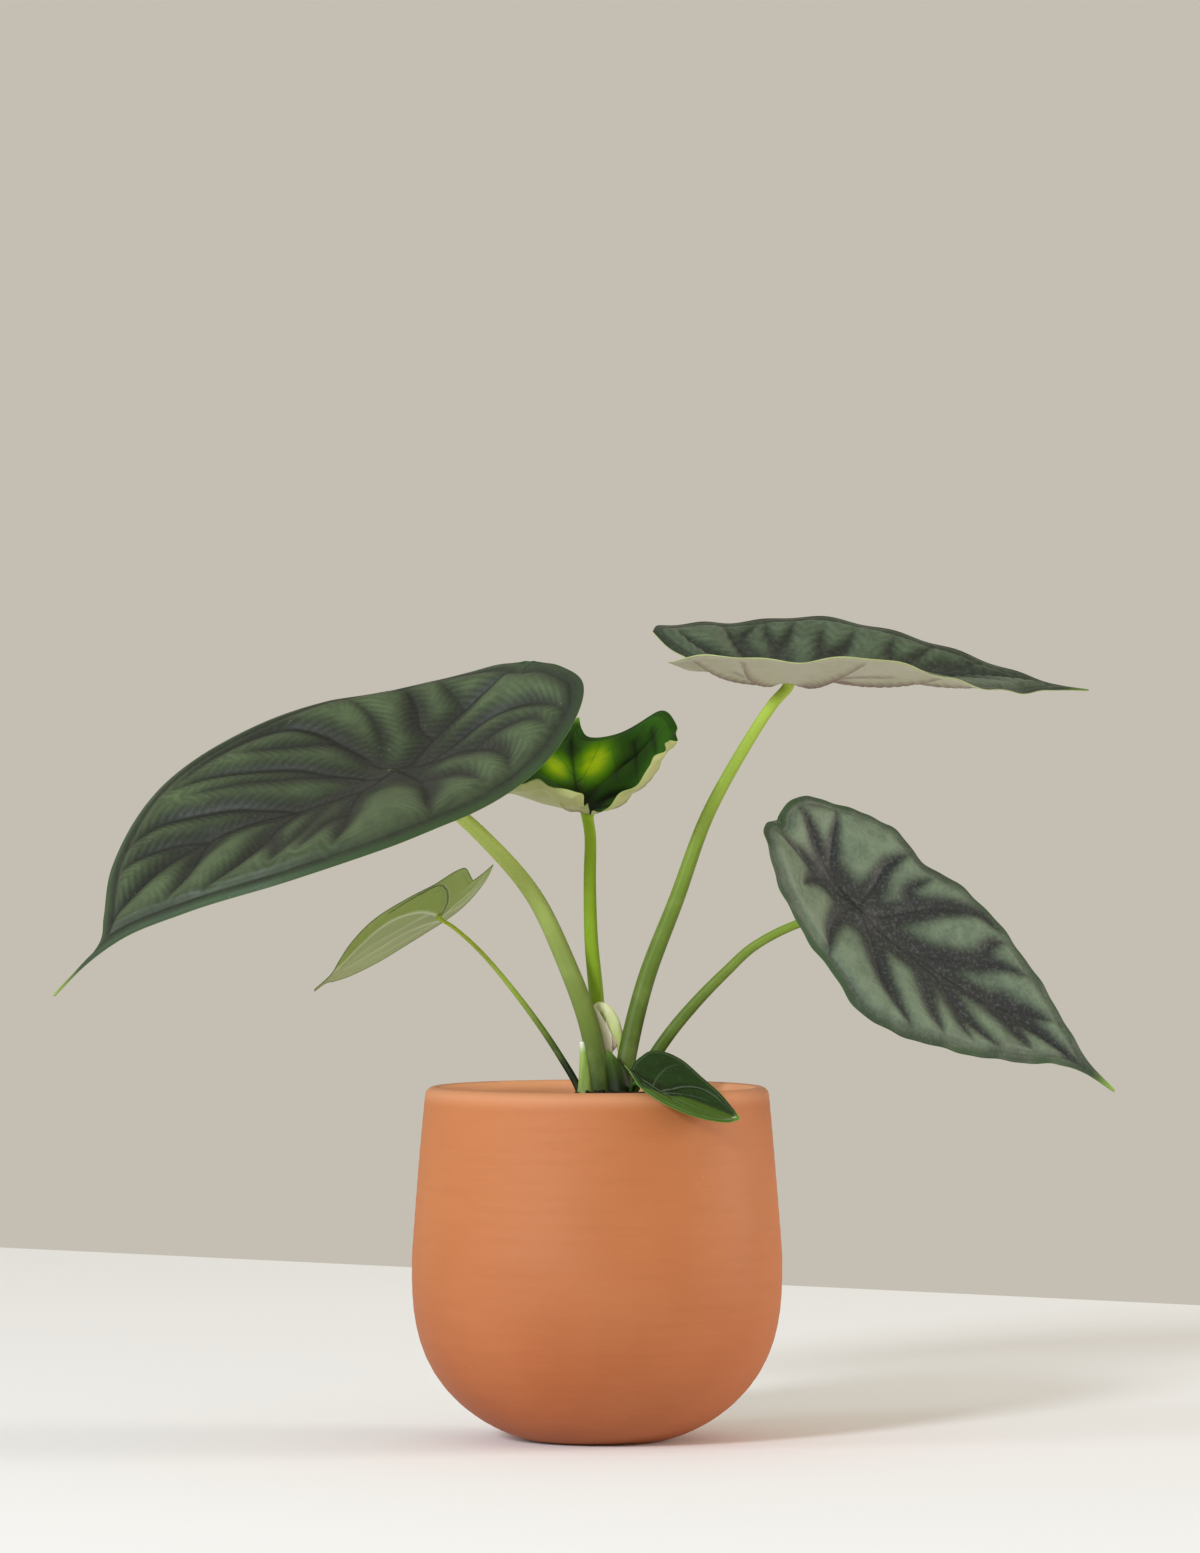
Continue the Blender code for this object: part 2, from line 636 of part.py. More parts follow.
def main():
    for obj in list(bpy.data.objects):
        bpy.data.objects.remove(obj)
    plant = new_collection("potted_alocasia")
    cutters = new_collection("cutters")
    terracotta = new_material("terracotta", (0.55, 0.22, 0.09), 0.85)
    soil = new_material("soil", (0.035, 0.025, 0.018), 0.95)
    corm_skin = new_material("corm_skin", (0.22, 0.15, 0.08), 0.8)
    root_skin = new_material("root_skin", (0.65, 0.55, 0.40), 0.7)
    stalk_green = new_material("stalk_green", (0.24, 0.36, 0.08), 0.5)
    blade_green = new_material("blade_green", (0.07, 0.11, 0.06), 0.55)
    scale_green = new_material("scale_green", (0.25, 0.35, 0.10), 0.55)
    scale_pale = new_material("scale_pale", (0.62, 0.66, 0.28), 0.6)

    build_pot(plant, terracotta)
    mix = build_mix(plant, soil)
    hollows = build_corm_and_roots(plant, corm_skin, root_skin, cutters)
    for name, leaf in LEAVES.items():
        build_blade(name, leaf, plant, blade_green)
        hollows.append(build_stalk(name, leaf, plant, stalk_green, cutters))
    for hollow in hollows:
        cut(mix, hollow)
    for name, scale in SCALES.items():
        build_scale(name, scale, plant, scale_pale if name == "sheath_pale" else scale_green)


main()
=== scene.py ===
"""Potted alocasia: leaves, stalks, scale leaves, soil and pot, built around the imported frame."""

import math

import bmesh
import bpy
import numpy as np
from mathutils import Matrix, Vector, noise


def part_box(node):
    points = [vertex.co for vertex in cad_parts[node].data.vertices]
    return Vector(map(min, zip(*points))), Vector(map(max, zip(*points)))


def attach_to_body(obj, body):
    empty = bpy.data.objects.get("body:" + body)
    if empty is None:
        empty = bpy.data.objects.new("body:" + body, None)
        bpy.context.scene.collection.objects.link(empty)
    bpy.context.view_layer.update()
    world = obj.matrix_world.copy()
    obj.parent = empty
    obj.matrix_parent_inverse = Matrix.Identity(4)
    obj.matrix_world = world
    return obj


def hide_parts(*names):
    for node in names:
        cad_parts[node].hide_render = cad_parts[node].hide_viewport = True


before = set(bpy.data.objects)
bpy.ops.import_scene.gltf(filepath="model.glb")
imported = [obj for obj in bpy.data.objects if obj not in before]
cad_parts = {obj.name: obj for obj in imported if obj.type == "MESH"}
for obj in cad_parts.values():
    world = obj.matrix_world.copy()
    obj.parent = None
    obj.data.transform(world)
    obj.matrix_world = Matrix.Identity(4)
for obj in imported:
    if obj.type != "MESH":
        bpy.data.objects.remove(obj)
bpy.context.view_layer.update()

MM = 0.001

# Pot and soil, in metres. The pot's outside is two power curves that meet at the belly.
pot_low, pot_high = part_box("pot")
POT_HEIGHT = pot_high.z
BELLY_RADIUS = (pot_high.x - pot_low.x) / 2
FOOT_RADIUS = 0.0235
BELLY_HEIGHT = 0.069
RIM_RADIUS = 0.065
WALL = 0.0072
FLOOR = 0.008
LIP_RISE = 0.0035
HOLE_RADIUS = 0.006
BELLY_POWER = 2.95
BELLY_ROUND = 0.69
SHOULDER_POWER = 1.1
HEEL_SHARE = 0.5
CROWN_BELOW_RIM = 0.0025
SOIL_BELOW_RIM = 0.008
MOUND_TOP_RADIUS = 0.015
MOUND_FOOT_RADIUS = 0.040
CROWN = np.array([0.0, 0.0, POT_HEIGHT - CROWN_BELOW_RIM])

# How a flat blade is bent: its spine reaches past both ends and is summed in small steps.
MIDRIB_SLANT = 1.15
TWIST_BEHIND = 0.4
SPINE_BEHIND = 1.25
SPINE_AHEAD = 1.02
SPINE_STEPS = 400
FOLD_STEPS = 24

# Quilting of a blade, in millimetres for a blade of MODEL_LENGTH. Other blades have it in proportion.
MODEL_LENGTH = 120
VEIN_BLEND = 1.6
VALLEY_WIDTH = 5.5
VEIN_WIDTH = 0.42
VEIN_LEAST_WIDTH = 0.12
OWNED_BLEND = 0.8
RIPPLE_REACH = 7
RIM_FADE = 4.5
JOINT_CLEAR = 6.5
INNER_LINE_INSET = 3.4
RIB_WIDTH = 0.8
RIB_DEPTH = 0.55

# Blade surfaces, in millimetres: half of the thickness, where it thins at the rim, and the looped vein's
# width. The drip tip's start is a share of the length.
HALF_THICKNESS = 0.28
THIN_RIM = 1.5
LOOP_WIDTH = 0.42
TAIL_START = 0.90
NORMAL_STEP = 1.2
VEIN_POINTS = 26
OUTLINE_POINTS = 160

# Stalks: how far they run below the crown and stop below the blade's middle, in millimetres.
STALK_ROOTED = 5.5
STALK_TOP_GAP = 0.7
GROOVE_BEARING = 1.6

# Scale leaves: how far they start below the crown, and their thickness, in millimetres.
SCALE_SUNK = 1.0
SCALE_THICKNESS = 0.6

# Small leaf that rests over the rim: how far its joint stands in from the rim, above it, and its bearing.
SMALL_FRONT_INSET = 0.0063
SMALL_FRONT_RISE = 0.0040
SMALL_FRONT_BEARING = math.radians(-69.5)
SMALL_FRONT_REACH = (RIM_RADIUS - SMALL_FRONT_INSET) / MM
SMALL_FRONT_ATTACH = (SMALL_FRONT_REACH * math.cos(SMALL_FRONT_BEARING),
                      SMALL_FRONT_REACH * math.sin(SMALL_FRONT_BEARING),
                      (CROWN_BELOW_RIM + SMALL_FRONT_RISE) / MM)

# Leaves, in millimetres and degrees. Outlines run from the lobe's end to the drip tip, as distance out from
# the midrib and distance ahead of the joint. Pairs are left half, right half; bends and sweeps are tip, base.
# band: where the green margin begins to fade, and over how far. waves: height, period round the rim, phase,
# depth in from the rim. cup: height and depth of the upturned lobes, the level they start at, its fade, the
# right half's height. painted_backlight: painted light where light shines through the blade, as spots by
# place, width, length and strength. border: where the two halves meet.
LEAVES = {
    "large_left": {
        "attach": (-77, -23.5, 123), "azimuth": 201, "elevation": -16, "roll": -21,
        "length": 157.5, "notch": 69, "lobe_length": 78, "half_width": 54,
        "fold": (7, 8), "base_fold": (0, -20), "curl": (-16, 0), "bend": (33, 46), "sweep": (-7, -13),
        "twist": 2,
        "right": [(2, -67), (10, -66), (24.5, -60.5), (46.5, -41.5), (55, -7.5), (57.5, 29), (51, 71),
                  (29.5, 105.5), (10.5, 122.5), (1, 132), (0.5, 157.5)],
        "left": [(2, -68), (8, -70.5), (18, -72), (34, -69.5), (46, -47), (53, -10), (56, 28.5), (46, 69),
                 (25, 103), (8.5, 125), (2.5, 141), (0.5, 157.5)],
        "joint": (-4, 0), "grid": (250, 150), "pillow": 7.5, "pleat": 3.4, "ripple": 0.15, "rolled": 0.9,
        "rib": 0.8, "dim_edge": 0.6, "band": (0.8, 1.9),
        "foot": (1.5, -5), "radii": (4.2, 3.6, 3.0, 2.3), "neck": 4,
        "route": [(-2.5, -5, 24), (-11.5, -8, 49), (-24, -12, 75), (-41, -17, 95), (-57, -21, 109)],
    },
    "back": {
        "attach": (-3.5, 1, 107), "azimuth": 95, "elevation": 24, "roll": -1,
        "length": 89.5, "notch": 7, "lobe_length": 36, "half_width": 36,
        "fold": (15, 22), "base_fold": (11, 5), "curl": (-6, 28), "bend": (2, 35), "sweep": (4, -7),
        "twist": -5,
        "right": [(6, -29), (16, -34), (28, -35), (39, -25), (44, -6), (45, 16), (38, 39),
                  (16.5, 52.5), (4.5, 65), (1.5, 76.5), (0.5, 89.5)],
        "left": [(11, -39.5), (22.5, -38), (31.5, -24.5), (35, -7.5), (29, 12), (20, 34.5),
                 (11.5, 56), (6, 70), (3, 79.5), (0.5, 89.5)],
        "joint": (0, 0), "grid": (200, 130), "pillow": 2.2, "pleat": 3.0, "ripple": 0.03, "rolled": 0.0,
        "rib": 1.2, "band": (0.8, 1.9), "cup": (5.5, 5.0, 6, 16, 3.5),
        "wavy_below": 20, "waves": ((0.9, 21, 0.1, 5), (0.4, 12, 0.4, 4)),
        "painted_backlight": [(6, 37, 8, 15, 1.0), (-10, 34, 6.5, 13, 0.9)],
        "foot": (1.8, 5), "radii": (3.1, 2.9, 2.45, 2.1), "neck": 3,
        "route": [(-0.3, 5.5, 36), (-2.2, 4.5, 58), (-2.8, 3.5, 80), (-2.6, 2, 97)],
    },
    "high_right": {
        "attach": (73, 20, 158), "azimuth": 10, "elevation": 2, "roll": 18,
        "length": 118.5, "notch": 32.5, "lobe_length": 54, "half_width": 42,
        "fold": (10, 3), "base_fold": (3, 5), "curl": (9, 39), "bend": (10, 16), "sweep": (1, 4),
        "twist": 11,
        "right": [(7, -48.5), (23.5, -47), (37.5, -31.5), (44, -6), (50.5, 22), (39, 52.5),
                  (21.5, 79.5), (8.5, 97), (3, 108), (0.5, 118.5)],
        "left": [(23, -52.5), (29, -50), (36.5, -33), (40.5, -9), (40.5, 18), (28.5, 48.5),
                 (14, 76.5), (4.5, 95.5), (1, 107), (0.5, 118.5)],
        "joint": (0, 0), "grid": (220, 140), "pillow": 5.5, "pleat": 4.2, "ripple": 0.26, "rolled": 0.0,
        "rib": 1.8, "band": (0.6, 1.2), "wavy_below": 110, "waves": ((0.6, 26, 0.2, 5),),
        "under_ribs": [[(0, 0), (5, 14), (7, 30), (6, 46)], [(0, 0), (9, 10), (17, 22), (24, 34)],
                       [(0, 0), (11, 4), (24, 10)], [(0, -1), (8, -12), (16, -24)]],
        "foot": (9.5, -1), "radii": (3.8, 3.2, 2.5, 2.0), "neck": 4,
        "route": [(11.3, 0, 13.5), (18.6, 3, 43), (30.3, 8, 73.5), (42, 12, 105), (57.8, 17, 133.5),
                  (66.8, 18.5, 147)],
    },
    "low_right": {
        "attach": (99.5, -3.5, 69), "azimuth": 7, "elevation": -35, "roll": 54,
        "length": 120.5, "notch": 48, "lobe_length": 52, "half_width": 39,
        "fold": (9, 12), "base_fold": (-4, 15), "curl": (-10, -8), "bend": (5, 26), "sweep": (-3, 9),
        "twist": 8,
        "right": [(1.5, -46.5), (6, -51), (14, -52.5), (23, -49), (31, -31), (34.5, -7), (45, 20), (34.5, 51),
                  (18, 79), (6.5, 94.5), (1.5, 105), (0.5, 120.5)],
        "left": [(1.5, -46), (5, -48.5), (12, -49), (21, -45), (33, -30), (41.5, -7.5), (35.5, 13), (36, 32),
                 (30.5, 51.5), (18, 79), (8.5, 96), (3.5, 106.5), (0.5, 120.5)],
        "joint": (0, 0), "grid": (220, 140), "pillow": 4.4, "pleat": 3.2, "ripple": 0.05, "rolled": 0.6,
        "rib": 0.8, "dim_edge": 0.1, "inner_line": 0.15, "band": (0.6, 2.8),
        "wavy_below": 110, "waves": ((0.5, 26, 0.3, 6), (0.25, 12, 0.1, 5)),
        "foot": (13, 5), "radii": (2.6, 2.3, 1.75, 1.45), "neck": 3,
        "route": [(19.5, 4, 10.5), (28.2, 3, 23.2), (38, 1.5, 34.8), (49, 0, 46), (59.5, -1, 55.5),
                  (78, -2, 64.6)],
    },
    "small_left": {
        "attach": (-62.5, 9.5, 69), "azimuth": 190, "elevation": -27, "roll": 54,
        "length": 55.5, "notch": 19.5, "lobe_length": 25, "half_width": 20,
        "fold": (-1, 21), "base_fold": (-3, 5), "curl": (-28, 5), "bend": (17, 22), "sweep": (3, 10),
        "twist": -1,
        "right": [(5.5, -31.5), (10, -26), (13, -16), (13.5, -3.5), (15.5, 10), (15.5, 24.5),
                  (11, 37.5), (5.5, 45.5), (1.5, 50), (0.5, 55.5)],
        "left": [(7, -19.5), (9.5, -18.5), (12.5, -13), (13, -3), (13.5, 9), (13, 23), (8.5, 34.5),
                 (4, 41.5), (1, 46.5), (0.5, 55.5)],
        "joint": (6, -1.5), "grid": (130, 80), "pillow": 0.6, "pleat": 2.0, "ripple": 0.0, "rolled": 0.2,
        "rib": 1.4, "band": (0.6, 1.4), "loop_vein": 1,
        "border": [(8, -2.5), (8, -2), (1, 1), (-3, 6), (-6, 15), (-6, 22), (-4, 31), (-2, 39)],
        "foot": (-6.5, 1.5), "radii": (1.45, 1.2, 0.9, 0.75), "neck": 2.5,
        "route": [(-14.5, 3, 14.5), (-28.5, 5, 34.5), (-44, 7, 53), (-54, 8.5, 62)],
    },
    "small_front": {
        "attach": SMALL_FRONT_ATTACH, "azimuth": -8, "elevation": -20, "roll": 31,
        "length": 35, "notch": 9.5, "lobe_length": 11.5, "half_width": 12,
        "fold": (17, 13), "base_fold": (1, 16), "curl": (3, -5), "bend": (12, 25), "sweep": (-4, 2),
        "twist": 8,
        "right": [(3, -12.5), (5.5, -9.5), (8.5, -5.5), (10.5, 0), (13, 7.5), (12.5, 17.5),
                  (9, 26.5), (5, 32), (2, 34), (0.5, 35)],
        "left": [(3, -10), (7.5, -9), (12, -7), (14.5, -2), (14, 6), (10, 16), (6.5, 25),
                 (3.5, 30.5), (2, 33), (0.5, 35)],
        "joint": (0, 0), "grid": (130, 80), "pillow": 1.4, "pleat": 1.6, "ripple": 0.0, "rolled": 0.1,
        "rib": 0.8, "band": (0.4, 0.9),
        "border": [(9, -9), (9, -3), (8, 4), (4, 12), (3, 20), (2, 28), (1, 34)],
        "foot": (13, -7), "radii": (1.2, 1.1, 0.9), "neck": 1.5,
        "route": [(14, -12, 3.5), (17, -32, 4.5), (19.5, -47, 4.5)],
    },
}

# Veins of each blade: strength, then points on the flat blade.
DRAWN_VEINS = {
    "large_left": [
        (1.0, [(-5, -2), (-6, 8), (-7, 18), (-5, 30), (0, 44), (6, 62), (10, 78), (10, 92), (5, 118),
               (1, 142)]),
        (0.9, [(-5, -2), (3, -12), (9, -23), (13, -40), (9, -57), (2, -68)]),
        (0.9, [(-5, -2), (-4, -10), (-1, -26), (-3, -41), (-14, -52), (-27, -57), (-38, -58)]),
        (0.8, [(-3, -12), (-7, -21), (-14, -28), (-24, -32), (-34, -32), (-45, -27)]),
        (0.9, [(-6, 0), (-16, -4), (-27, -3), (-37, 1), (-49, 6)]),
        (0.9, [(-7, 16), (-21, 27), (-34, 36), (-44, 45)]),
        (0.9, [(-2, 40), (-12, 58), (-18, 67), (-22, 78), (-24, 94)]),
        (0.8, [(9, 74), (0, 85), (-8, 94), (-14, 104)]),
        (0.8, [(9, -22), (18, -22), (30, -28), (41, -31), (49, -29)]),
        (0.9, [(-5, -1), (4, 3), (18, 6), (28, 9), (38, 13), (46, 20), (49, 33), (48, 50), (44, 67)]),
        (0.9, [(-6, 6), (2, 12), (10, 20), (20, 28), (31, 43), (39, 58), (42, 70)]),
        (0.9, [(-1, 41), (8, 50), (17, 59), (24, 70), (30, 83), (29, 97)]),
        (0.7, [(9, 74), (17, 86), (21, 98), (20, 108)]),
        (0.5, [(-14, -28), (-17, -40), (-26, -49), (-38, -50)]),
        (0.5, [(-16, -4), (-28, -15), (-42, -18)]),
        (0.5, [(-24, 29), (-27, 42), (-36, 56)]),
        (0.5, [(-12, 58), (-25, 60), (-35, 68)]),
        (0.5, [(-5, 30), (-16, 38), (-25, 50), (-31, 66)]),
        (0.45, [(28, 9), (31, 20), (38, 34), (44, 44)]),
        (0.45, [(10, 20), (17, 36), (27, 52), (34, 68)]),
        (0.4, [(4, 3), (22, -6), (38, -8), (49, -4)]),
        (0.4, [(13, -40), (24, -42), (36, -44)]),
    ],
    "low_right": [
        (1.0, [(0, -2), (2, 8), (3, 21), (2, 32), (2, 50), (-1, 67), (-1, 80), (0, 98), (0.5, 112)]),
        (0.9, [(0, -2), (-7, -18), (-15, -24), (-28, -31)]),
        (0.9, [(0, -1), (-14, 0), (-23, 0), (-33, 5)]),
        (1.0, [(0, 3), (-4, 9), (-15, 19), (-24, 30), (-29, 40), (-28, 51)]),
        (0.9, [(3, 22), (-3, 36), (-11, 49), (-16, 60), (-18, 69)]),
        (0.7, [(0, 64), (-5, 76), (-8, 85)]),
        (0.8, [(0, -2), (12, -7), (22, -7), (33, -3)]),
        (1.0, [(1, 0), (8, 8), (22, 17), (29, 25), (36, 36)]),
        (1.0, [(3, 18), (4, 30), (6, 39), (12, 48), (16, 58), (18, 70)]),
        (0.6, [(9, 32), (22, 40), (30, 49)]),
        (0.7, [(0, 64), (5, 73), (9, 83)]),
        (0.9, [(0, -2), (-5, -19), (-12, -37), (-14, -46)]),
        (0.8, [(0, -2), (-1, -19), (2, -34), (9, -46)]),
        (0.5, [(-1, -19), (8, -24), (18, -27)]),
        (0.45, [(-15, 19), (-19, 12), (-30, 18)]),
        (0.45, [(-11, 49), (-20, 50), (-26, 56)]),
        (0.45, [(12, 48), (19, 53), (24, 61)]),
    ],
    "back": [
        (1.0, [(0, -2), (-2, 3), (-3, 22), (-3, 46), (-3, 66), (0, 84)]),
        (0.9, [(0, 0), (9, 3), (18, -5), (26, -13), (35, -17)]),
        (0.8, [(-2, 8), (6, 17), (14, 21), (26, 22), (38, 24)]),
        (0.7, [(-2, 26), (6, 44), (10, 54)]),
        (0.8, [(-2, 3), (-8, 4), (-16, 6), (-28, 4)]),
        (0.8, [(-2, 10), (-9, 17), (-16, 25), (-20, 30)]),
        (0.6, [(-3, 30), (-8, 44), (-11, 52)]),
        (0.8, [(0, -2), (-8, -14), (-16, -30)]),
        (0.8, [(0, -2), (8, -14), (17, -25)]),
        (0.4, [(14, 40), (14, 16), (13, 4)]),
        (0.4, [(24, 32), (23, 10), (22, -8)]),
        (0.4, [(33, 28), (33, 8), (30, -12)]),
    ],
    "high_right": [
        (1.0, [(0, -1), (-1, 20), (-3, 42), (-5, 60), (-4, 78), (-1, 92), (0.5, 108)]),
        (0.9, [(0, -2), (-12, -10), (-24, -16), (-37, -22)]),
        (0.8, [(-14, -12), (-28, -14), (-36, -6)]),
        (1.0, [(0, 0), (-13, -1), (-20, 0), (-28, 5), (-37, 9)]),
        (1.0, [(0, 8), (-10, 16), (-19, 25), (-29, 31)]),
        (0.9, [(-2, 30), (-6, 42), (-14, 53), (-20, 60)]),
        (0.8, [(-5, 56), (-7, 66), (-11, 78)]),
        (0.9, [(0, -2), (-8, -20), (-19, -34), (-26, -42)]),
        (0.9, [(0, -2), (10, -12), (22, -20), (36, -26)]),
        (0.9, [(0, -2), (6, -20), (16, -34), (22, -42)]),
        (1.0, [(0, 2), (14, 6), (30, 12), (42, 20)]),
        (0.9, [(-1, 18), (10, 28), (22, 40), (31, 52)]),
        (0.8, [(-3, 42), (6, 54), (14, 66), (19, 76)]),
        (0.5, [(-5, 60), (2, 74), (7, 86)]),
        (0.5, [(-20, 0), (-29, -3), (-38, -2)]),
        (0.5, [(-10, 16), (-22, 16), (-33, 20)]),
        (0.5, [(-6, 42), (-16, 42), (-25, 46)]),
    ],
    "small_left": [
        (1.0, [(8, -2), (1, 1), (-3, 6), (-6, 15), (-6, 22), (-4, 31), (-2, 39), (0, 50)]),
        (0.9, [(8, -2), (1, -6), (-5, -8), (-11, -6), (-12, 4), (-11, 16)]),
        (0.8, [(10, -2), (7, 6), (5, 15), (5, 24), (4, 32), (2, 41)]),
        (0.8, [(8, -3), (6, -8), (6, -16), (6, -26)]),
        (0.5, [(1, 1), (1, 12), (0, 24), (0, 36)]),
        (0.5, [(10, -2), (11, 8), (11, 18), (9, 28)]),
        (0.5, [(7, -5), (10, -12), (9, -22)]),
    ],
    "small_front": [
        (1.0, [(3, -9), (2, -3), (5, 4), (6, 12), (6, 20), (5, 28), (1, 34)]),
        (0.9, [(4, 5), (-2, 10), (-5, 17), (-4, 24), (-1, 31)]),
        (0.7, [(5, 6), (0, 15), (-1, 22)]),
        (0.6, [(8, 10), (10, 15), (11, 19)]),
        (0.5, [(3, 1), (-2, 1), (-8, 3), (-12, 8)]),
        (0.4, [(2, -3), (7, -2), (10, 3)]),
    ],
}


def smooth_line(points, count):
    """A smooth line through the points, cut into evenly spaced ones."""
    knots = np.array([tuple(point) for point in points], dtype=float)
    ends = np.vstack([2 * knots[0] - knots[1], knots, 2 * knots[-1] - knots[-2]])
    step = np.sqrt(np.linalg.norm(np.diff(ends, axis=0), axis=1))
    mark = np.concatenate([[0], np.cumsum(step)])
    t = np.linspace(mark[1], mark[-2], max(40, 20 * len(knots)))
    index = np.clip(np.searchsorted(mark, t, side="right") - 1, 1, len(knots) - 1)

    def between(low, high, first, second):
        share = ((t - mark[low]) / (mark[high] - mark[low]))[:, None]
        return first + (second - first) * share

    p0, p1, p2, p3 = (ends[index + k] for k in (-1, 0, 1, 2))
    a1 = between(index - 1, index, p0, p1)
    a2 = between(index, index + 1, p1, p2)
    a3 = between(index + 1, index + 2, p2, p3)
    b1 = between(index - 1, index + 1, a1, a2)
    b2 = between(index, index + 2, a2, a3)
    curve = between(index, index + 1, b1, b2)
    run = np.concatenate([[0], np.cumsum(np.linalg.norm(np.diff(curve, axis=0), axis=1))])
    even = np.linspace(0, run[-1], count)
    return np.column_stack([np.interp(even, run, curve[:, k]) for k in range(curve.shape[1])])


def ease(t):
    """A smooth step from 0 to 1."""
    t = np.clip(t, 0, 1)
    return t * t * (3 - 2 * t)


def blade_axes(leaf):
    """Unit directions of a blade at its joint: to its right, ahead to the tip, and up out of its top face."""
    azimuth, elevation, roll = (math.radians(leaf[key]) for key in ("azimuth", "elevation", "roll"))
    ahead = np.array([math.cos(elevation) * math.cos(azimuth), math.cos(elevation) * math.sin(azimuth),
                      math.sin(elevation)])
    upright = np.array([-math.sin(elevation) * math.cos(azimuth), -math.sin(elevation) * math.sin(azimuth),
                        math.cos(elevation)])
    up = math.cos(roll) * upright + math.sin(roll) * np.cross(ahead, upright)
    return np.cross(ahead, up), ahead, up


def bent_sheet(leaf, x, y):
    """Carries flat blade coordinates onto the folded, curled, bent and twisted blade."""
    length, base = leaf["length"], leaf["lobe_length"]
    run = np.linspace(-SPINE_BEHIND * base, SPINE_AHEAD * length, SPINE_STEPS)
    forward, backward = np.clip(run, 0, None) / length, np.clip(-run, 0, None) / base
    tip_bend, base_bend = np.radians(leaf["bend"])
    tip_sweep, base_sweep = np.radians(leaf["sweep"])
    pitch = -tip_bend * forward - base_bend * backward
    yaw = tip_sweep * forward + base_sweep * backward
    spine = np.column_stack([np.cos(pitch) * np.sin(yaw), np.cos(pitch) * np.cos(yaw), np.sin(pitch)])
    spine = np.cumsum(spine, axis=0) * (run[1] - run[0])
    spine -= [np.interp(0, run, axis) for axis in spine.T]
    middle = np.stack([np.interp(y, run, axis) for axis in spine.T], axis=-1)
    pitch, yaw = np.interp(y, run, pitch), np.interp(y, run, yaw)
    ahead = np.stack([np.cos(pitch) * np.sin(yaw), np.cos(pitch) * np.cos(yaw), np.sin(pitch)], axis=-1)
    aside = np.stack([np.cos(yaw), -np.sin(yaw), 0 * yaw], axis=-1)
    up = np.cross(aside, ahead)

    near_base = ease(-y / base)
    side = (x >= 0).astype(int)
    fold = np.radians(leaf["fold"])[side] + np.radians(leaf["base_fold"])[side] * near_base
    curl = np.radians(leaf["curl"])[side]
    reach = np.abs(x) / leaf["half_width"]
    across = np.zeros_like(reach)
    rise = np.zeros_like(reach)
    for share in (np.arange(FOLD_STEPS) + 0.5) / FOLD_STEPS:
        slope = fold + curl * reach * share
        across += np.cos(slope) * x / FOLD_STEPS
        rise += np.sin(slope) * np.abs(x) / FOLD_STEPS
    points = middle + across[..., None] * aside + rise[..., None] * up
    twist = math.radians(leaf["twist"]) * np.clip(y / length, -TWIST_BEHIND, 1)
    turned_x = np.cos(twist) * points[..., 0] + np.sin(twist) * points[..., 2]
    turned_z = -np.sin(twist) * points[..., 0] + np.cos(twist) * points[..., 2]
    return np.stack([turned_x, points[..., 1], turned_z], axis=-1)


def tone(code):
    """A hex colour as the linear colour that a socket takes."""
    levels = [int(code[k:k + 2], 16) / 255 for k in (1, 3, 5)]
    return tuple(v / 12.92 if v <= 0.04045 else ((v + 0.055) / 1.055) ** 2.4 for v in levels) + (1.0,)


# ---------------------------------------------------------------- finishes

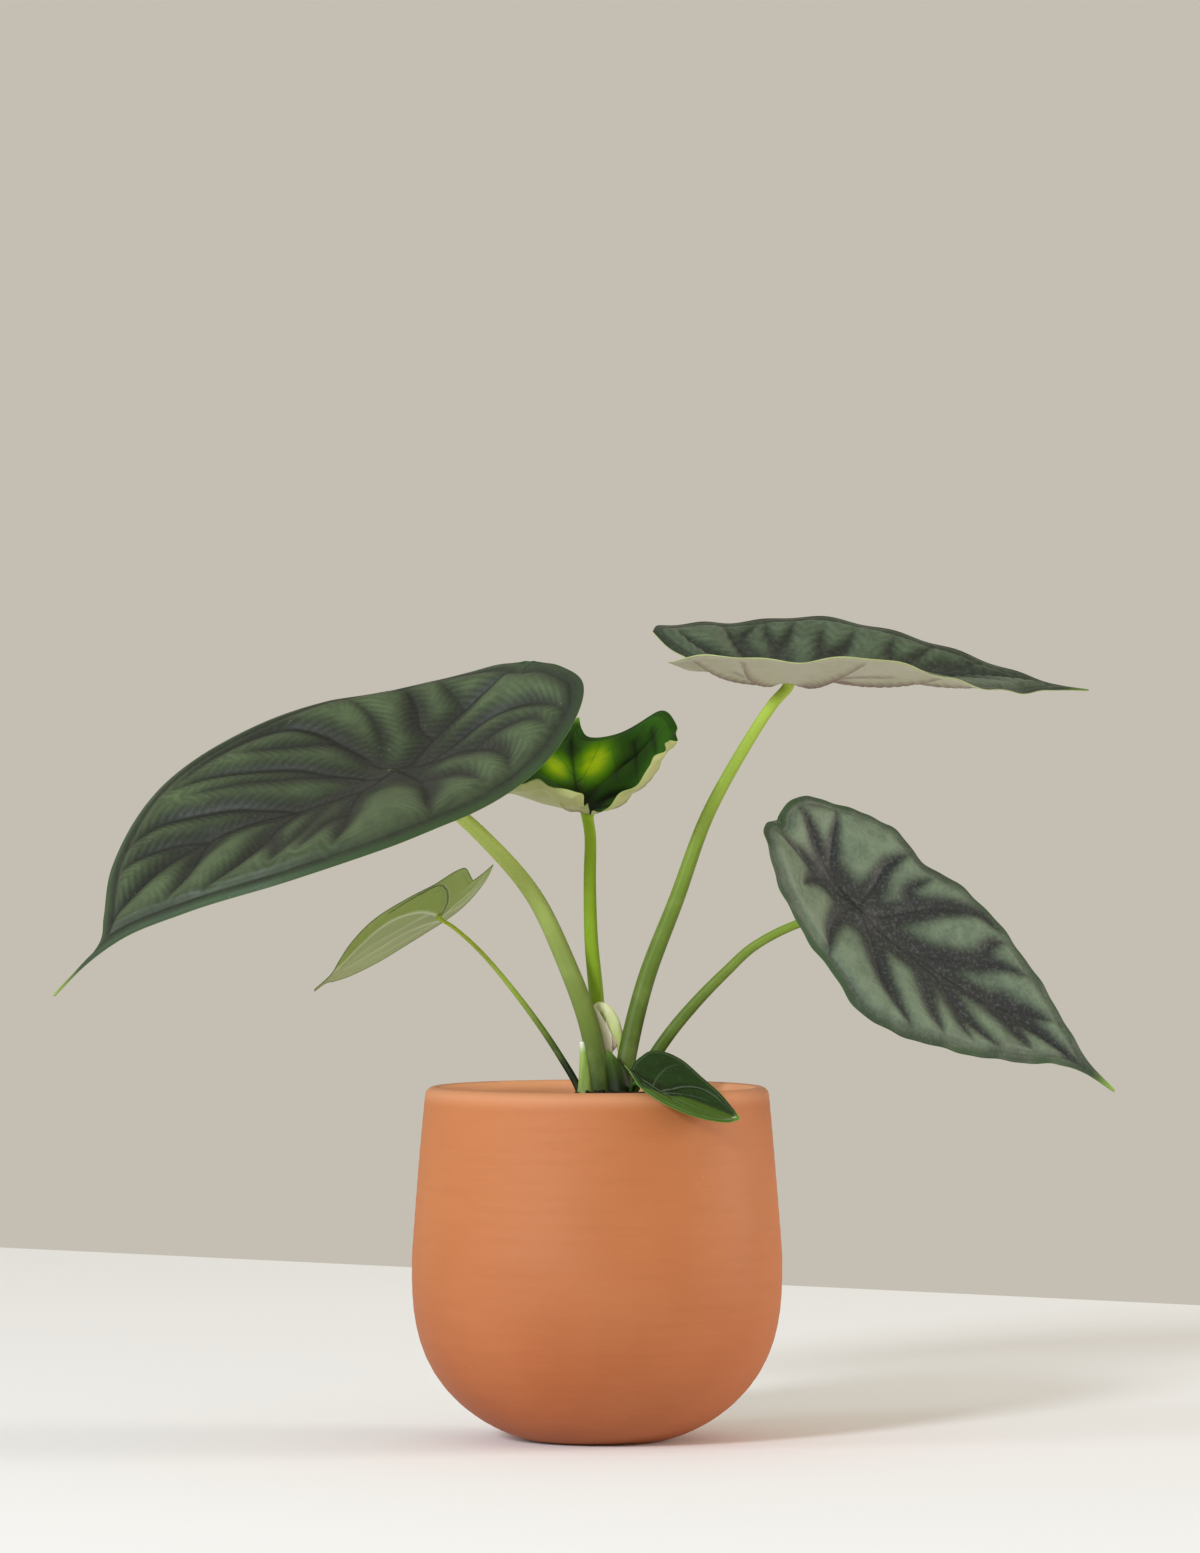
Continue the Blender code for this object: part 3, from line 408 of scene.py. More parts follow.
class Finish:
    """A material and short ways to add its nodes."""

    def __init__(self, name, roughness, specular=0.5):
        self.material = bpy.data.materials.new(name)
        self.material.use_nodes = True
        self.tree = self.material.node_tree
        self.shader = self.tree.nodes["Principled BSDF"]
        self.shader.inputs["Roughness"].default_value = roughness
        self.shader.inputs["Specular IOR Level"].default_value = specular

    def add(self, kind, inputs=(), **settings):
        made = self.tree.nodes.new("ShaderNode" + kind)
        for key, value in settings.items():
            setattr(made, key, value)
        for socket, value in dict(inputs).items():
            if isinstance(value, bpy.types.NodeSocket):
                self.tree.links.new(value, made.inputs[socket])
            else:
                made.inputs[socket].default_value = value
        return made

    def place(self, scale=(1, 1, 1)):
        """Object coordinates, stretched."""
        spot = self.add("TexCoord").outputs["Object"]
        return self.add("Mapping", {"Vector": spot, "Scale": scale}).outputs[0]

    def field(self, name):
        """A value that the mesh carries."""
        return self.add("Attribute", attribute_name=name).outputs["Fac"]

    def noise(self, scale, detail=4, rough=0.55, spot=None):
        inputs = {"Vector": spot or self.place(), "Scale": scale, "Detail": detail, "Roughness": rough}
        return self.add("TexNoise", inputs).outputs["Fac"]

    def cells(self, scale, spot=None):
        return self.add("TexVoronoi", {"Vector": spot or self.place(), "Scale": scale}).outputs["Distance"]

    def span(self, value, low, high, to_low=0.0, to_high=1.0):
        """The value stretched from one span to another, held at both ends."""
        inputs = {"Value": value, "From Min": low, "From Max": high, "To Min": to_low, "To Max": to_high}
        return self.add("MapRange", inputs, interpolation_type="SMOOTHSTEP").outputs[0]

    def math(self, operation, first, second):
        return self.add("Math", {0: first, 1: second}, operation=operation).outputs[0]

    def mix(self, share, first, second, blend="MIX"):
        made = self.tree.nodes.new("ShaderNodeMix")
        made.data_type = "RGBA"
        made.blend_type = blend
        for socket, value in ((0, share), (6, first), (7, second)):
            if isinstance(value, bpy.types.NodeSocket):
                self.tree.links.new(value, made.inputs[socket])
            elif isinstance(value, str):
                made.inputs[socket].default_value = tone(value)
            else:
                made.inputs[socket].default_value = value
        return made.outputs[2]

    def ramp(self, value, stops):
        """Colours that change along a value."""
        made = self.add("ValToRGB", {"Fac": value})
        bands = made.color_ramp.elements
        for share, _ in stops[1:-1]:
            bands.new(share)
        for band, (share, code) in zip(bands, stops):
            band.position = share
            band.color = tone(code)
        return made.outputs["Color"]

    def colour(self, output):
        self.tree.links.new(output, self.shader.inputs["Base Color"])

    def roughness(self, output):
        self.tree.links.new(output, self.shader.inputs["Roughness"])

    def bump(self, height, distance, strength=1.0, under=None):
        inputs = {"Height": height, "Distance": distance, "Strength": strength}
        if under is not None:
            inputs["Normal"] = under
        made = self.add("Bump", inputs).outputs[0]
        self.tree.links.new(made, self.shader.inputs["Normal"])
        return made


def blade_top_finish(name, look):
    """Quilted top face: dusky near the veins, with painted shade in the creases; silvery green on the
    pillows, partly painted light on their tops; green at the margin.
    """
    made = Finish("blade_top_" + name, look["gloss"], look["shine"])
    away = made.field("away")
    low, high = look["pillow_span"]
    mottle = made.noise(150, 5, 0.6)
    broad = made.noise(42, 3, 0.5)
    fine = made.noise(700, 4, 0.65)
    # Lighter away from the veins: partly the leaf's own silvering, partly painted light on the pillow tops
    # and painted shade toward the veins.
    shift = made.math("MULTIPLY", made.math("SUBTRACT", broad, 0.5), 0.45 * (high - low))
    silvering_and_light = made.span(made.math("ADD", away, shift), low, high)
    silvering_and_light = made.math("MULTIPLY", silvering_and_light, made.span(mottle, 0.28, 0.66, 0.62, 1.0))
    colour = made.mix(silvering_and_light, look["dark"], look["silver_and_lit"])
    if "other" in look:
        colour = made.mix(made.field("half"), colour, look["other"])
    # Painted shade in the creases along the veins.
    crease_shade = made.span(away, 0.6, look["crease_shade_reach"], look["crease_shade_share"], 0.0)
    colour = made.mix(crease_shade, colour, look["crease_shade"])
    grain = made.math("MAXIMUM", made.span(fine, 0.32, 0.70, -1.0, 1.0), 0.0)
    colour = made.mix(made.math("MULTIPLY", grain, look["grain"]), colour, look["pale_grain"])
    colour = made.mix(made.span(fine, 0.30, 0.46, look["grain"], 0.0), colour, "#1D211C")
    # Painted shade in the troughs of the pleat ripples.
    trough_shade = made.span(made.field("ripple"), -0.8, 0.8, look["trough_shade"], 0.0)
    colour = made.mix(trough_shade, colour, look["line"])
    green = made.math("MULTIPLY", made.field("edge"), made.span(broad, 0.35, 0.60, 0.55, 0.95))
    colour = made.mix(green, colour, look["margin"])
    colour = made.mix(made.math("MULTIPLY", made.field("line"), look["line_share"]), colour, look["line"])
    colour = made.mix(made.field("tail"), colour, look["tail"])
    # Painted light: bright spots where light shines through the blade.
    if "painted_backlight" in look:
        lit = made.math("MULTIPLY", made.field("painted_backlight"), made.span(mottle, 0.2, 0.6, 0.75, 1.0))
        colour = made.mix(made.span(lit, 0.0, 0.45), colour, look["painted_backlight"][0])
        colour = made.mix(made.span(lit, 0.30, 0.95), colour, look["painted_backlight"][1])
    # Tiny pale specks: painted glints.
    specks_and_glints = made.span(made.cells(420), 0.05, 0.08, 0.5, 0.0)
    specks_and_glints = made.math("MULTIPLY", specks_and_glints, made.span(made.noise(75, 2), 0.56, 0.62))
    colour = made.mix(specks_and_glints, colour, "#A9B09A")
    made.colour(colour)
    first = made.bump(made.noise(1100, 3, 0.6), 0.00010, 0.4)
    made.bump(made.cells(900), 0.00008, 0.3, first)
    made.roughness(made.span(mottle, 0.3, 0.7, look["gloss"] - 0.05, look["gloss"] + 0.08))
    return made


def blade_under_finish(name, look):
    """Underside: two tones of green or cream, with ribs that fade toward the margin."""
    made = Finish("blade_under_" + name, 0.5, 0.35)
    mottle = made.noise(240, 5, 0.6)
    colour = made.mix(made.span(mottle, 0.3, 0.7, 0.0, 0.35), look["under"], look["under_mottle"])
    if "under_other" in look:
        colour = made.mix(made.field("half"), colour, look["under_other"])
    colour = made.mix(made.math("MULTIPLY", made.field("rib"), look["rib_share"]), colour, look["rib"])
    if "under_loop" in look:
        colour = made.mix(made.field("loop"), colour, look["under_loop"])
    colour = made.mix(made.math("MULTIPLY", made.field("edge"), 0.45), colour, look["under_edge"])
    specks_and_glints = made.span(made.cells(330), 0.06, 0.10, look["specks_and_glints"], 0.0)
    specks_and_glints = made.math("MULTIPLY", specks_and_glints, made.span(made.noise(60, 2), 0.50, 0.56))
    colour = made.mix(specks_and_glints, colour, "#4A3A22")
    made.colour(colour)
    made.bump(made.noise(900, 3, 0.6), 0.00006, 0.3)
    return made


def blade_rim_finish(name, shade):
    """The thin edge between a blade's two faces."""
    made = Finish("blade_rim_" + name, 0.5, 0.4)
    made.colour(made.mix(made.noise(150, 3), shade, "#5E7A36"))
    return made


def stalk_finish(name, stops):
    """A stalk coloured along its rise, with fine lengthwise streaks."""
    made = Finish("stalk_" + name, 0.5, 0.22)
    along = made.ramp(made.field("rise"), stops)
    spot = made.add("Attribute", attribute_name="skin").outputs["Vector"]
    streak = made.noise(7, 4, 0.6, spot)
    colour = made.mix(made.span(streak, 0.35, 0.70, 0.0, 0.20), along, "#4C6A26")
    cloud = made.noise(110, 3, 0.5)
    colour = made.mix(made.span(cloud, 0.45, 0.75, 0.0, 0.10), colour, "#B9CE74")
    made.colour(colour)
    made.bump(made.noise(900, 3, 0.6), 0.00008, 0.35)
    return made


# ---------------------------------------------------------------- pieces

def keep_field(mesh, name, values, kind):
    """Gives each vertex a value that a finish can read."""
    layer = mesh.attributes.new(name, kind, "POINT")
    key = "value" if kind == "FLOAT" else "vector"
    layer.data.foreach_set(key, np.asarray(values, dtype=np.float32).ravel())


def piece_from(name, bm, finishes, slot, *nodes, fields=None):
    """Turns a finished bmesh into a piece that rides on the root and stands for CAD nodes."""
    for face in bm.faces:
        face.smooth = True
    if bm.calc_volume(signed=True) < 0:
        bmesh.ops.reverse_faces(bm, faces=bm.faces[:])
    mesh = bpy.data.meshes.new(name)
    bm.to_mesh(mesh)
    bm.free()
    for label, (kind, values) in (fields or {}).items():
        keep_field(mesh, label, values, kind)
    for made in finishes:
        mesh.materials.append(made.material)
    piece = bpy.data.objects.new(name, mesh)
    bpy.context.scene.collection.objects.link(piece)
    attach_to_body(piece, "root")
    if nodes:
        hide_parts(*nodes)
    return piece


def line_distance(x, y, line):
    """Each point's distance to a line, and how far along the line the nearest place is."""
    best = np.full(x.shape, np.inf)
    along = np.zeros(x.shape)
    run = 0.0
    for (ax, ay), (bx, by) in zip(line[:-1], line[1:]):
        dx, dy = bx - ax, by - ay
        size = math.hypot(dx, dy)
        share = np.clip(((x - ax) * dx + (y - ay) * dy) / size ** 2, 0, 1)
        gap = np.hypot(x - ax - share * dx, y - ay - share * dy)
        closer = gap < best
        best = np.where(closer, gap, best)
        along = np.where(closer, run + share * size, along)
        run += size
    return best, along, run


class BladeRelief:
    """How far each place on a blade stands from its veins, and the quilting that follows."""

    def __init__(self, name, leaf, x, y):
        size = leaf["length"] / MODEL_LENGTH
        outline = np.vstack([smooth_line(leaf["left"], 100)[::-1] * (-1, 1), [(0, -leaf["notch"])],
                             smooth_line(leaf["right"], 100)])
        self.edge, self.around, _ = line_distance(x, y, outline)
        dome = np.ones_like(x)
        self.line = np.zeros_like(x)
        self.rib = np.zeros_like(x)
        nearness = leaf.get("dim_edge", 0.35) * np.exp(-(self.edge + 1) / VEIN_BLEND)
        gaps, waves = [], []
        for strength, points in DRAWN_VEINS[name]:
            gap, along, run = line_distance(x, y, smooth_line(points, VEIN_POINTS))
            way = along / run
            taper = 1 - 0.5 * way
            fade = strength * (1 - 0.75 * way ** 3)
            dome *= 1 - 0.92 * fade * np.exp(-gap / (VALLEY_WIDTH * size * taper))
            nearness = nearness + fade ** 2 * (1 - 0.8 * way ** 2) * np.exp(-gap / (VEIN_BLEND * taper))
            thin = fade * np.exp(-(gap / (VEIN_WIDTH * size * taper + VEIN_LEAST_WIDTH)) ** 2) * taper
            self.line = np.maximum(self.line, thin)
            rib = strength * taper * np.exp(-(gap / (leaf["rib"] * size * taper)) ** 2)
            self.rib = np.maximum(self.rib, rib)
            gaps.append(gap)
            waves.append(np.sin(2 * math.pi * (along + 0.9 * gap + 3 * strength) / leaf["pleat"]))
        self.away = -VEIN_BLEND * np.log(np.clip(nearness, 1e-6, 1)) / size
        gaps, waves = np.array(gaps), np.array(waves)
        owned = np.exp(-(gaps - gaps.min(axis=0)) / (OWNED_BLEND * size))
        owned /= owned.sum(axis=0)
        nearest = gaps.min(axis=0)
        inside = 1 - np.exp(-(self.edge / (RIM_FADE * size)) ** 2)
        from_joint = np.hypot(x - leaf["joint"][0], y - leaf["joint"][1])
        clear = 1 - np.exp(-(from_joint / (JOINT_CLEAR * size)) ** 2)
        self.ripple = (owned * waves).sum(axis=0) * np.exp(-(nearest / (RIPPLE_REACH * size)) ** 2)
        self.ripple = self.ripple * inside * clear
        self.ripple *= 1 - np.exp(-nearest / (OWNED_BLEND * size))
        from_inner_line = self.edge - INNER_LINE_INSET * size
        dome *= 1 - 0.35 * np.exp(-(from_inner_line / (1.1 * size)) ** 2)
        self.lift = leaf["pillow"] * (dome - 0.45) * inside * clear + leaf["ripple"] * self.ripple
        self.lift -= leaf["rolled"] * np.exp(-self.edge / (1.6 * size))
        start, run = leaf["band"]
        self.margin = ease(1 - (self.edge - start * size) / (run * size))
        collective = leaf.get("inner_line", 0.45) * np.exp(-(from_inner_line / (0.45 * size)) ** 2)
        self.line = np.maximum(self.line * inside, collective)
        for points in leaf.get("under_ribs", ()):
            gap, along, run = line_distance(x, y, smooth_line(points, VEIN_POINTS))
            rib = (1 - 0.6 * along / run) * np.exp(-(gap / (leaf["rib"] * size)) ** 2)
            self.rib = np.maximum(self.rib, rib)


def blade_places(name, leaf, rows, columns):
    """Places of both faces of a blade on a regular grid, with the fields its finishes read."""
    along = np.linspace(0, 1, rows + 1)
    across = np.linspace(-1, 1, columns + 1)
    u, v = np.meshgrid(along, across, indexing="ij")
    right, left = smooth_line(leaf["right"], OUTLINE_POINTS), smooth_line(leaf["left"], OUTLINE_POINTS)
    step = np.linspace(0, 1, OUTLINE_POINTS)
    edge_x = np.where(v >= 0, np.interp(u, step, right[:, 0]), np.interp(u, step, left[:, 0]))
    right_y, left_y = np.interp(u, step, right[:, 1]), np.interp(u, step, left[:, 1])
    edge_y = np.where(v >= 0, right_y, left_y)
    first = (right[0, 1] + left[0, 1]) / 2
    length = leaf["length"]
    share = np.clip(((right_y + left_y) / 2 - first) / (length - first), 0, 1)
    mid_y = -leaf["notch"] + (length + leaf["notch"]) * share ** MIDRIB_SLANT
    x = v * edge_x
    y = mid_y + np.abs(v) * (edge_y - mid_y)

    slope_x = bent_sheet(leaf, x + NORMAL_STEP, y) - bent_sheet(leaf, x - NORMAL_STEP, y)
    slope_y = bent_sheet(leaf, x, y + NORMAL_STEP) - bent_sheet(leaf, x, y - NORMAL_STEP)
    normal = np.cross(slope_x, slope_y)
    normal /= np.linalg.norm(normal, axis=-1, keepdims=True)
    relief = BladeRelief(name, leaf, x, y)
    lift = relief.lift
    for height, period, phase, depth in leaf.get("waves", ()):
        wave = np.sin(2 * math.pi * (relief.around / period + phase))
        lift = lift + height * wave * np.exp(-relief.edge / depth) * ease((leaf["wavy_below"] - y) / 20)
    if "cup" in leaf:
        height, depth, level, fade, right_height = leaf["cup"]
        height = np.where(x > 0, right_height, height)
        upturn = height * np.exp(-relief.edge / depth) * ease((level - y) / fade)
        lift = lift + upturn * (0.5 + 0.5 * ease(np.abs(x) / 6))
    half_thickness = HALF_THICKNESS * np.clip(relief.edge / THIN_RIM, 0.45, 1)
    rib = relief.rib * (1 - relief.margin)
    flat = bent_sheet(leaf, x, y)
    turn = np.stack(blade_axes(leaf))
    start = CROWN + MM * np.array(leaf["attach"])
    top = start + MM * (flat + (lift + half_thickness)[..., None] * normal) @ turn
    depth = lift - half_thickness - RIB_DEPTH * leaf["rib"] / RIB_WIDTH * rib * length / MODEL_LENGTH
    under = start + MM * (flat + depth[..., None] * normal) @ turn
    fields = {"away": relief.away, "line": relief.line, "edge": relief.margin, "ripple": relief.ripple,
              "rib": rib, "tail": ease((y / length - TAIL_START) / 0.10)}
    if "border" in leaf:
        border = np.array(leaf["border"], dtype=float)
        fields["half"] = ease(0.5 + (x - np.interp(y, border[:, 1], border[:, 0])) / 1.2)
    if "loop_vein" in leaf:
        _, points = DRAWN_VEINS[name][leaf["loop_vein"]]
        gap, _, _ = line_distance(x, y, smooth_line(points, VEIN_POINTS))
        fields["loop"] = np.exp(-(gap / LOOP_WIDTH) ** 2)
        fields["rib"] = rib * (1 - fields["loop"])
    # Painted light: spots where light shines through the blade, fainter on the veins.
    if "painted_backlight" in leaf:
        lit = np.zeros_like(x)
        for gx, gy, wide, tall, strength in leaf["painted_backlight"]:
            lit = np.maximum(lit, strength * np.exp(-(((x - gx) / wide) ** 2 + ((y - gy) / tall) ** 2)))
        fields["painted_backlight"] = lit * (1 - 0.6 * relief.line)
    return top, under, fields


def build_blade(name, leaf, top_finish, under_finish, rim_finish):
    """A flat grid drawn out into two faces joined round the rim, then carried onto the quilted blade."""
    rows, columns = leaf["grid"]
    top, under, fields = blade_places(name, leaf, rows, columns)
    bm = bmesh.new()
    bmesh.ops.create_grid(bm, x_segments=rows, y_segments=columns, size=1.0)
    made = bmesh.ops.extrude_face_region(bm, geom=bm.faces[:], use_keep_orig=True)
    lower = {item for item in made["geom"] if isinstance(item, bmesh.types.BMVert)}
    lower_faces = {item for item in made["geom"] if isinstance(item, bmesh.types.BMFace)}
    rim_faces = [face for face in bm.faces if any(v in lower for v in face.verts)
                 and not all(v in lower for v in face.verts)]
    order = []
    for vert in bm.verts:
        i = round((vert.co.x + 1) / 2 * rows)
        j = round((vert.co.y + 1) / 2 * columns)
        order.append((i, j))
        vert.co = under[i, j] if vert in lower else top[i, j]
    for face in lower_faces:
        face.material_index = 1
    for face in rim_faces:
        face.material_index = 2
    bmesh.ops.recalc_face_normals(bm, faces=bm.faces[:])
    i, j = np.array(order).T
    kept = {label: ("FLOAT", values[i, j]) for label, values in fields.items()}
    return piece_from("blade_" + name + "_living", bm, [top_finish, under_finish, rim_finish],
                      "blade_green", "blade_" + name, fields=kept)


def ring_tube(bm, path, radii, around, squash=None, wobble=None):
    """A closed tube drawn ring by ring along a path. Returns each vertex's share of the way and its angle."""
    tangent = np.gradient(path, axis=0)
    tangent /= np.linalg.norm(tangent, axis=1, keepdims=True)
    side = np.cross(tangent[0], (0.0, 1.0, 0.0))
    side /= np.linalg.norm(side)
    ring = bmesh.ops.create_circle(bm, cap_ends=True, segments=around, radius=1.0)["verts"]
    cap = ring[0].link_faces[0]
    shares, angles, last = {}, {}, set()
    for step, (centre, way, radius) in enumerate(zip(path, tangent, radii)):
        if step:
            made = bmesh.ops.extrude_face_region(bm, geom=[cap], use_keep_orig=(step == 1))
            if step > 1 and cap.is_valid:
                bmesh.ops.delete(bm, geom=[cap], context="FACES_ONLY")
            cap = next(item for item in made["geom"] if isinstance(item, bmesh.types.BMFace))
        side = side - way * float(np.dot(side, way))
        side /= np.linalg.norm(side)
        other = np.cross(way, side)
        for k, vert in enumerate(cap.verts):
            behind = [edge.other_vert(vert) for edge in vert.link_edges if edge.other_vert(vert) in last]
            angle = angles[behind[0]] if behind else 2 * math.pi * k / around
            wide, thick = squash[step] if squash is not None else (1.0, 1.0)
            reach = radius * (wobble(step / (len(path) - 1), angle) if wobble else 1.0)
            vert.co = centre + reach * (math.cos(angle) * side * wide + math.sin(angle) * other * thick)
            shares[vert], angles[vert] = step / (len(path) - 1), angle
        last = set(cap.verts)
    return shares, angles


def stalk_path(leaf, count):
    """A stalk's centre line from the corm's crown to the underside of its blade."""
    foot = np.array([*leaf["foot"], 0.0])
    turn = np.stack(blade_axes(leaf))
    up = turn[2]
    attach = np.array(leaf["attach"]) + bent_sheet(leaf, *np.array(leaf["joint"], dtype=float)) @ turn
    neck = attach - up * leaf["neck"]
    top = attach - up * STALK_TOP_GAP
    points = [foot - (0, 0, STALK_ROOTED), foot] + [np.array(point, dtype=float) for point in leaf["route"]]
    return CROWN + MM * smooth_line(points + [neck, top], count)


STALK_STOPS = {
    "large_left": [(0.0, "#12160A"), (0.07, "#42501C"), (0.20, "#6A7C32"), (0.45, "#909F50"),
                   (0.75, "#BACC68"), (1.0, "#D0E07A")],
    "back": [(0.0, "#7A942A"), (0.30, "#84A41A"), (0.75, "#84A214"), (1.0, "#8CAC18")],
    "high_right": [(0.0, "#141A08"), (0.09, "#4E5E1E"), (0.40, "#687E2C"), (0.75, "#90A83C"),
                   (1.0, "#B4CC4C")],
    "low_right": [(0.0, "#20300E"), (0.18, "#4A5F1C"), (0.55, "#6C802A"), (1.0, "#8CA436")],
    "small_left": [(0.0, "#0C0907"), (0.17, "#14100B"), (0.28, "#46561C"), (0.55, "#8EA236"),
                   (1.0, "#C0CE48")],
    "small_front": [(0.0, "#2A3B16"), (0.5, "#466A22"), (1.0, "#5C8430")],
}


def build_stalk(name, leaf):
    """A tapering stalk with a shallow groove down one side."""
    count, around = (90, 28) if leaf["length"] > 60 else (60, 20)
    path = stalk_path(leaf, count)
    spread = leaf["radii"]
    share = np.linspace(0, 1, count)
    radii = MM * np.interp(share, np.linspace(0, 1, len(spread)), spread)
    flare = 1 + 0.30 * np.exp(-((1 - share) / 0.02) ** 2)

    def wobble(rise, angle):
        groove = 0.10 * math.exp(-((angle - GROOVE_BEARING) / 0.45) ** 2)
        ridges = 0.010 * math.sin(9 * angle + 6 * rise)
        return 1 - groove + ridges + 0.012 * math.sin(14 * rise + angle)

    bm = bmesh.new()
    shares, angles = ring_tube(bm, path, radii * flare, around, wobble=wobble)
    bmesh.ops.recalc_face_normals(bm, faces=bm.faces[:])
    rise = [shares[vert] for vert in bm.verts]
    skin = [(math.cos(angles[vert]), math.sin(angles[vert]), 0.25 * shares[vert]) for vert in bm.verts]
    finish = stalk_finish(name, STALK_STOPS[name])
    return piece_from("stalk_" + name, bm, [finish], "stalk_green", "petiole_" + name,
                      fields={"rise": ("FLOAT", rise), "skin": ("FLOAT_VECTOR", skin)})


# ---------------------------------------------------------------- scale leaves at the crown

def scale_finish(name, stops):
    """A scale leaf coloured along its rise, with upright streaks."""
    made = Finish(name, 0.5, 0.22)
    along = made.ramp(made.field("rise"), stops)
    streak = made.noise(520, 4, 0.6, made.place((1, 1, 0.12)))
    colour = made.mix(made.span(streak, 0.35, 0.7, 0.0, 0.4), along, "#7F8A4A", "MULTIPLY")
    made.colour(colour)
    made.bump(streak, 0.0003, 0.5)
    return made


SCALES = {
    "bract_left": {"foot": (-4.2, -5.5), "radius": 2.7, "close": 0.86, "facing": 220, "wrap": 320,
                   "height": 20.5, "lean": (-1.4, -1.0), "taper": 3.0, "tip": 0.6,
                   "stops": [(0.0, "#7F8F4C"), (0.30, "#8FA54E"), (0.80, "#9DB95C"), (0.95, "#DDE2C4"),
                             (1.0, "#F2F2E4")]},
    "sheath_front": {"foot": (8.3, -5.6), "radius": 4.8, "close": 0.3, "facing": 270, "wrap": 175,
                     "height": 17.5, "lean": (-4.3, -0.6), "taper": 2.0, "tip": 0.10,
                     "stops": [(0.0, "#121A06"), (0.35, "#22320A"), (0.75, "#3C5412"), (1.0, "#5C7A24")]},
}


def build_scale(name, scale, slot):
    """A pointed scale leaf: a sheet wrapped part way round an upright line, given a thickness."""
    bm = bmesh.new()
    bmesh.ops.create_grid(bm, x_segments=28, y_segments=44, size=1.0)
    x, y = scale["foot"]
    lean_x, lean_y = scale["lean"]
    facing, wrap = math.radians(scale["facing"]), math.radians(scale["wrap"])
    for vert in bm.verts:
        rise = (vert.co.y + 1) / 2
        narrow = (1 - rise ** scale["taper"]) * (1 - scale["tip"]) + scale["tip"]
        angle = facing + wrap / 2 * vert.co.x * narrow
        keel = 0.25 * math.exp(-(vert.co.x / 0.25) ** 2) * (1 - rise)
        radius = scale["radius"] * (1 - scale["close"] * rise) + keel
        vert.co = Vector((*CROWN,)) + MM * Vector((
            x + lean_x * rise ** 2 + radius * math.cos(angle),
            y + lean_y * rise ** 2 + radius * math.sin(angle),
            scale["height"] * rise - SCALE_SUNK))
    bmesh.ops.recalc_face_normals(bm, faces=bm.faces[:])
    bmesh.ops.solidify(bm, geom=bm.faces[:], thickness=SCALE_THICKNESS * MM)
    low = CROWN[2] - SCALE_SUNK * MM
    rise = [min(max((vert.co.z - low) / (scale["height"] * MM), 0), 1) for vert in bm.verts]
    finish = scale_finish(name + "_skin", scale["stops"])
    return piece_from(name + "_living", bm, [finish], slot, name, fields={"rise": ("FLOAT", rise)})


def build_pale_sheath():
    """The split cream sheath round the back stalk: a hooked outer band, an inner strand, a papery tip."""
    band = smooth_line([(-1.6, 1.9, 32.4), (1.0, 1.3, 32.6), (3.7, 1.1, 31.0), (5.7, 1.2, 27.6),
                        (7.0, 1.4, 24.0), (8.2, 1.8, 20.5), (9.2, 2.4, 15.0)], 60)
    strand = smooth_line([(-1.4, 0.8, 32.8), (0.6, 0.3, 28.5), (2.2, 0.0, 24.5), (3.2, -0.2, 20.5),
                          (4.0, 0.0, 16.0), (4.6, 0.6, 8.0), (4.8, 1.2, 0.0)], 50)
    paper = smooth_line([(5.6, 1.6, 21.5), (6.6, 1.2, 19.5), (6.5, 1.2, 17.5), (5.6, 1.6, 15.6)], 24)
    bm = bmesh.new()
    fields = {"rise": [], "kind": []}
    for path, widths, depth, order in ((band, (1.5, 2.0, 2.3, 2.5, 2.2, 1.6, 1.2), 1.2, 0.0),
                                       (strand, (0.9, 1.5, 1.8, 1.8, 1.6, 1.3), 1.0, 0.5),
                                       (paper, (0.3, 1.1, 0.8, 0.3), 0.25, 1.0)):
        share = np.linspace(0, 1, len(path))
        wide = np.interp(share, np.linspace(0, 1, len(widths)), widths)
        plump = MM * np.clip(share / 0.10, 0.12, 1) ** 0.5
        shares, angles = ring_tube(bm, CROWN + MM * path, plump, 24, squash=[(w, depth) for w in wide])
        fields["rise"] += list(shares.values())
        fields["kind"] += [order] * len(shares)
    bmesh.ops.recalc_face_normals(bm, faces=bm.faces[:])
    made = Finish("pale_sheath_skin", 0.4, 0.5)
    streak = made.noise(650, 4, 0.6, made.place((1, 1, 0.15)))
    colour = made.mix(made.span(made.field("rise"), 0.1, 0.9), "#E4E8B4", "#BFCB74")
    colour = made.mix(made.span(made.field("kind"), 0.2, 0.5), colour, "#F6F2D8")
    colour = made.mix(made.span(made.field("kind"), 0.6, 0.9), colour, "#C4A994")
    colour = made.mix(made.span(streak, 0.4, 0.7, 0.0, 0.25), colour, "#C5C080", "MULTIPLY")
    made.colour(colour)
    made.bump(streak, 0.0001, 0.4)
    made.shader.inputs["Subsurface Weight"].default_value = 0.15
    made.shader.inputs["Subsurface Radius"].default_value = (0.002, 0.002, 0.001)
    return piece_from("pale_sheath", bm, [made], "scale_pale", "sheath_pale",
                      fields={label: ("FLOAT", values) for label, values in fields.items()})


# ---------------------------------------------------------------- pot and soil

def outer_radius(z):
    """The pot's outside at a height."""
    if z < BELLY_HEIGHT:
        swell = (1 - (1 - max(z, 0) / BELLY_HEIGHT) ** BELLY_POWER) ** BELLY_ROUND
        return FOOT_RADIUS + (BELLY_RADIUS - FOOT_RADIUS) * swell
    share = (z - BELLY_HEIGHT) / (POT_HEIGHT - LIP_RISE - BELLY_HEIGHT)
    return BELLY_RADIUS - (BELLY_RADIUS - RIM_RADIUS) * min(share, 1) ** SHOULDER_POWER


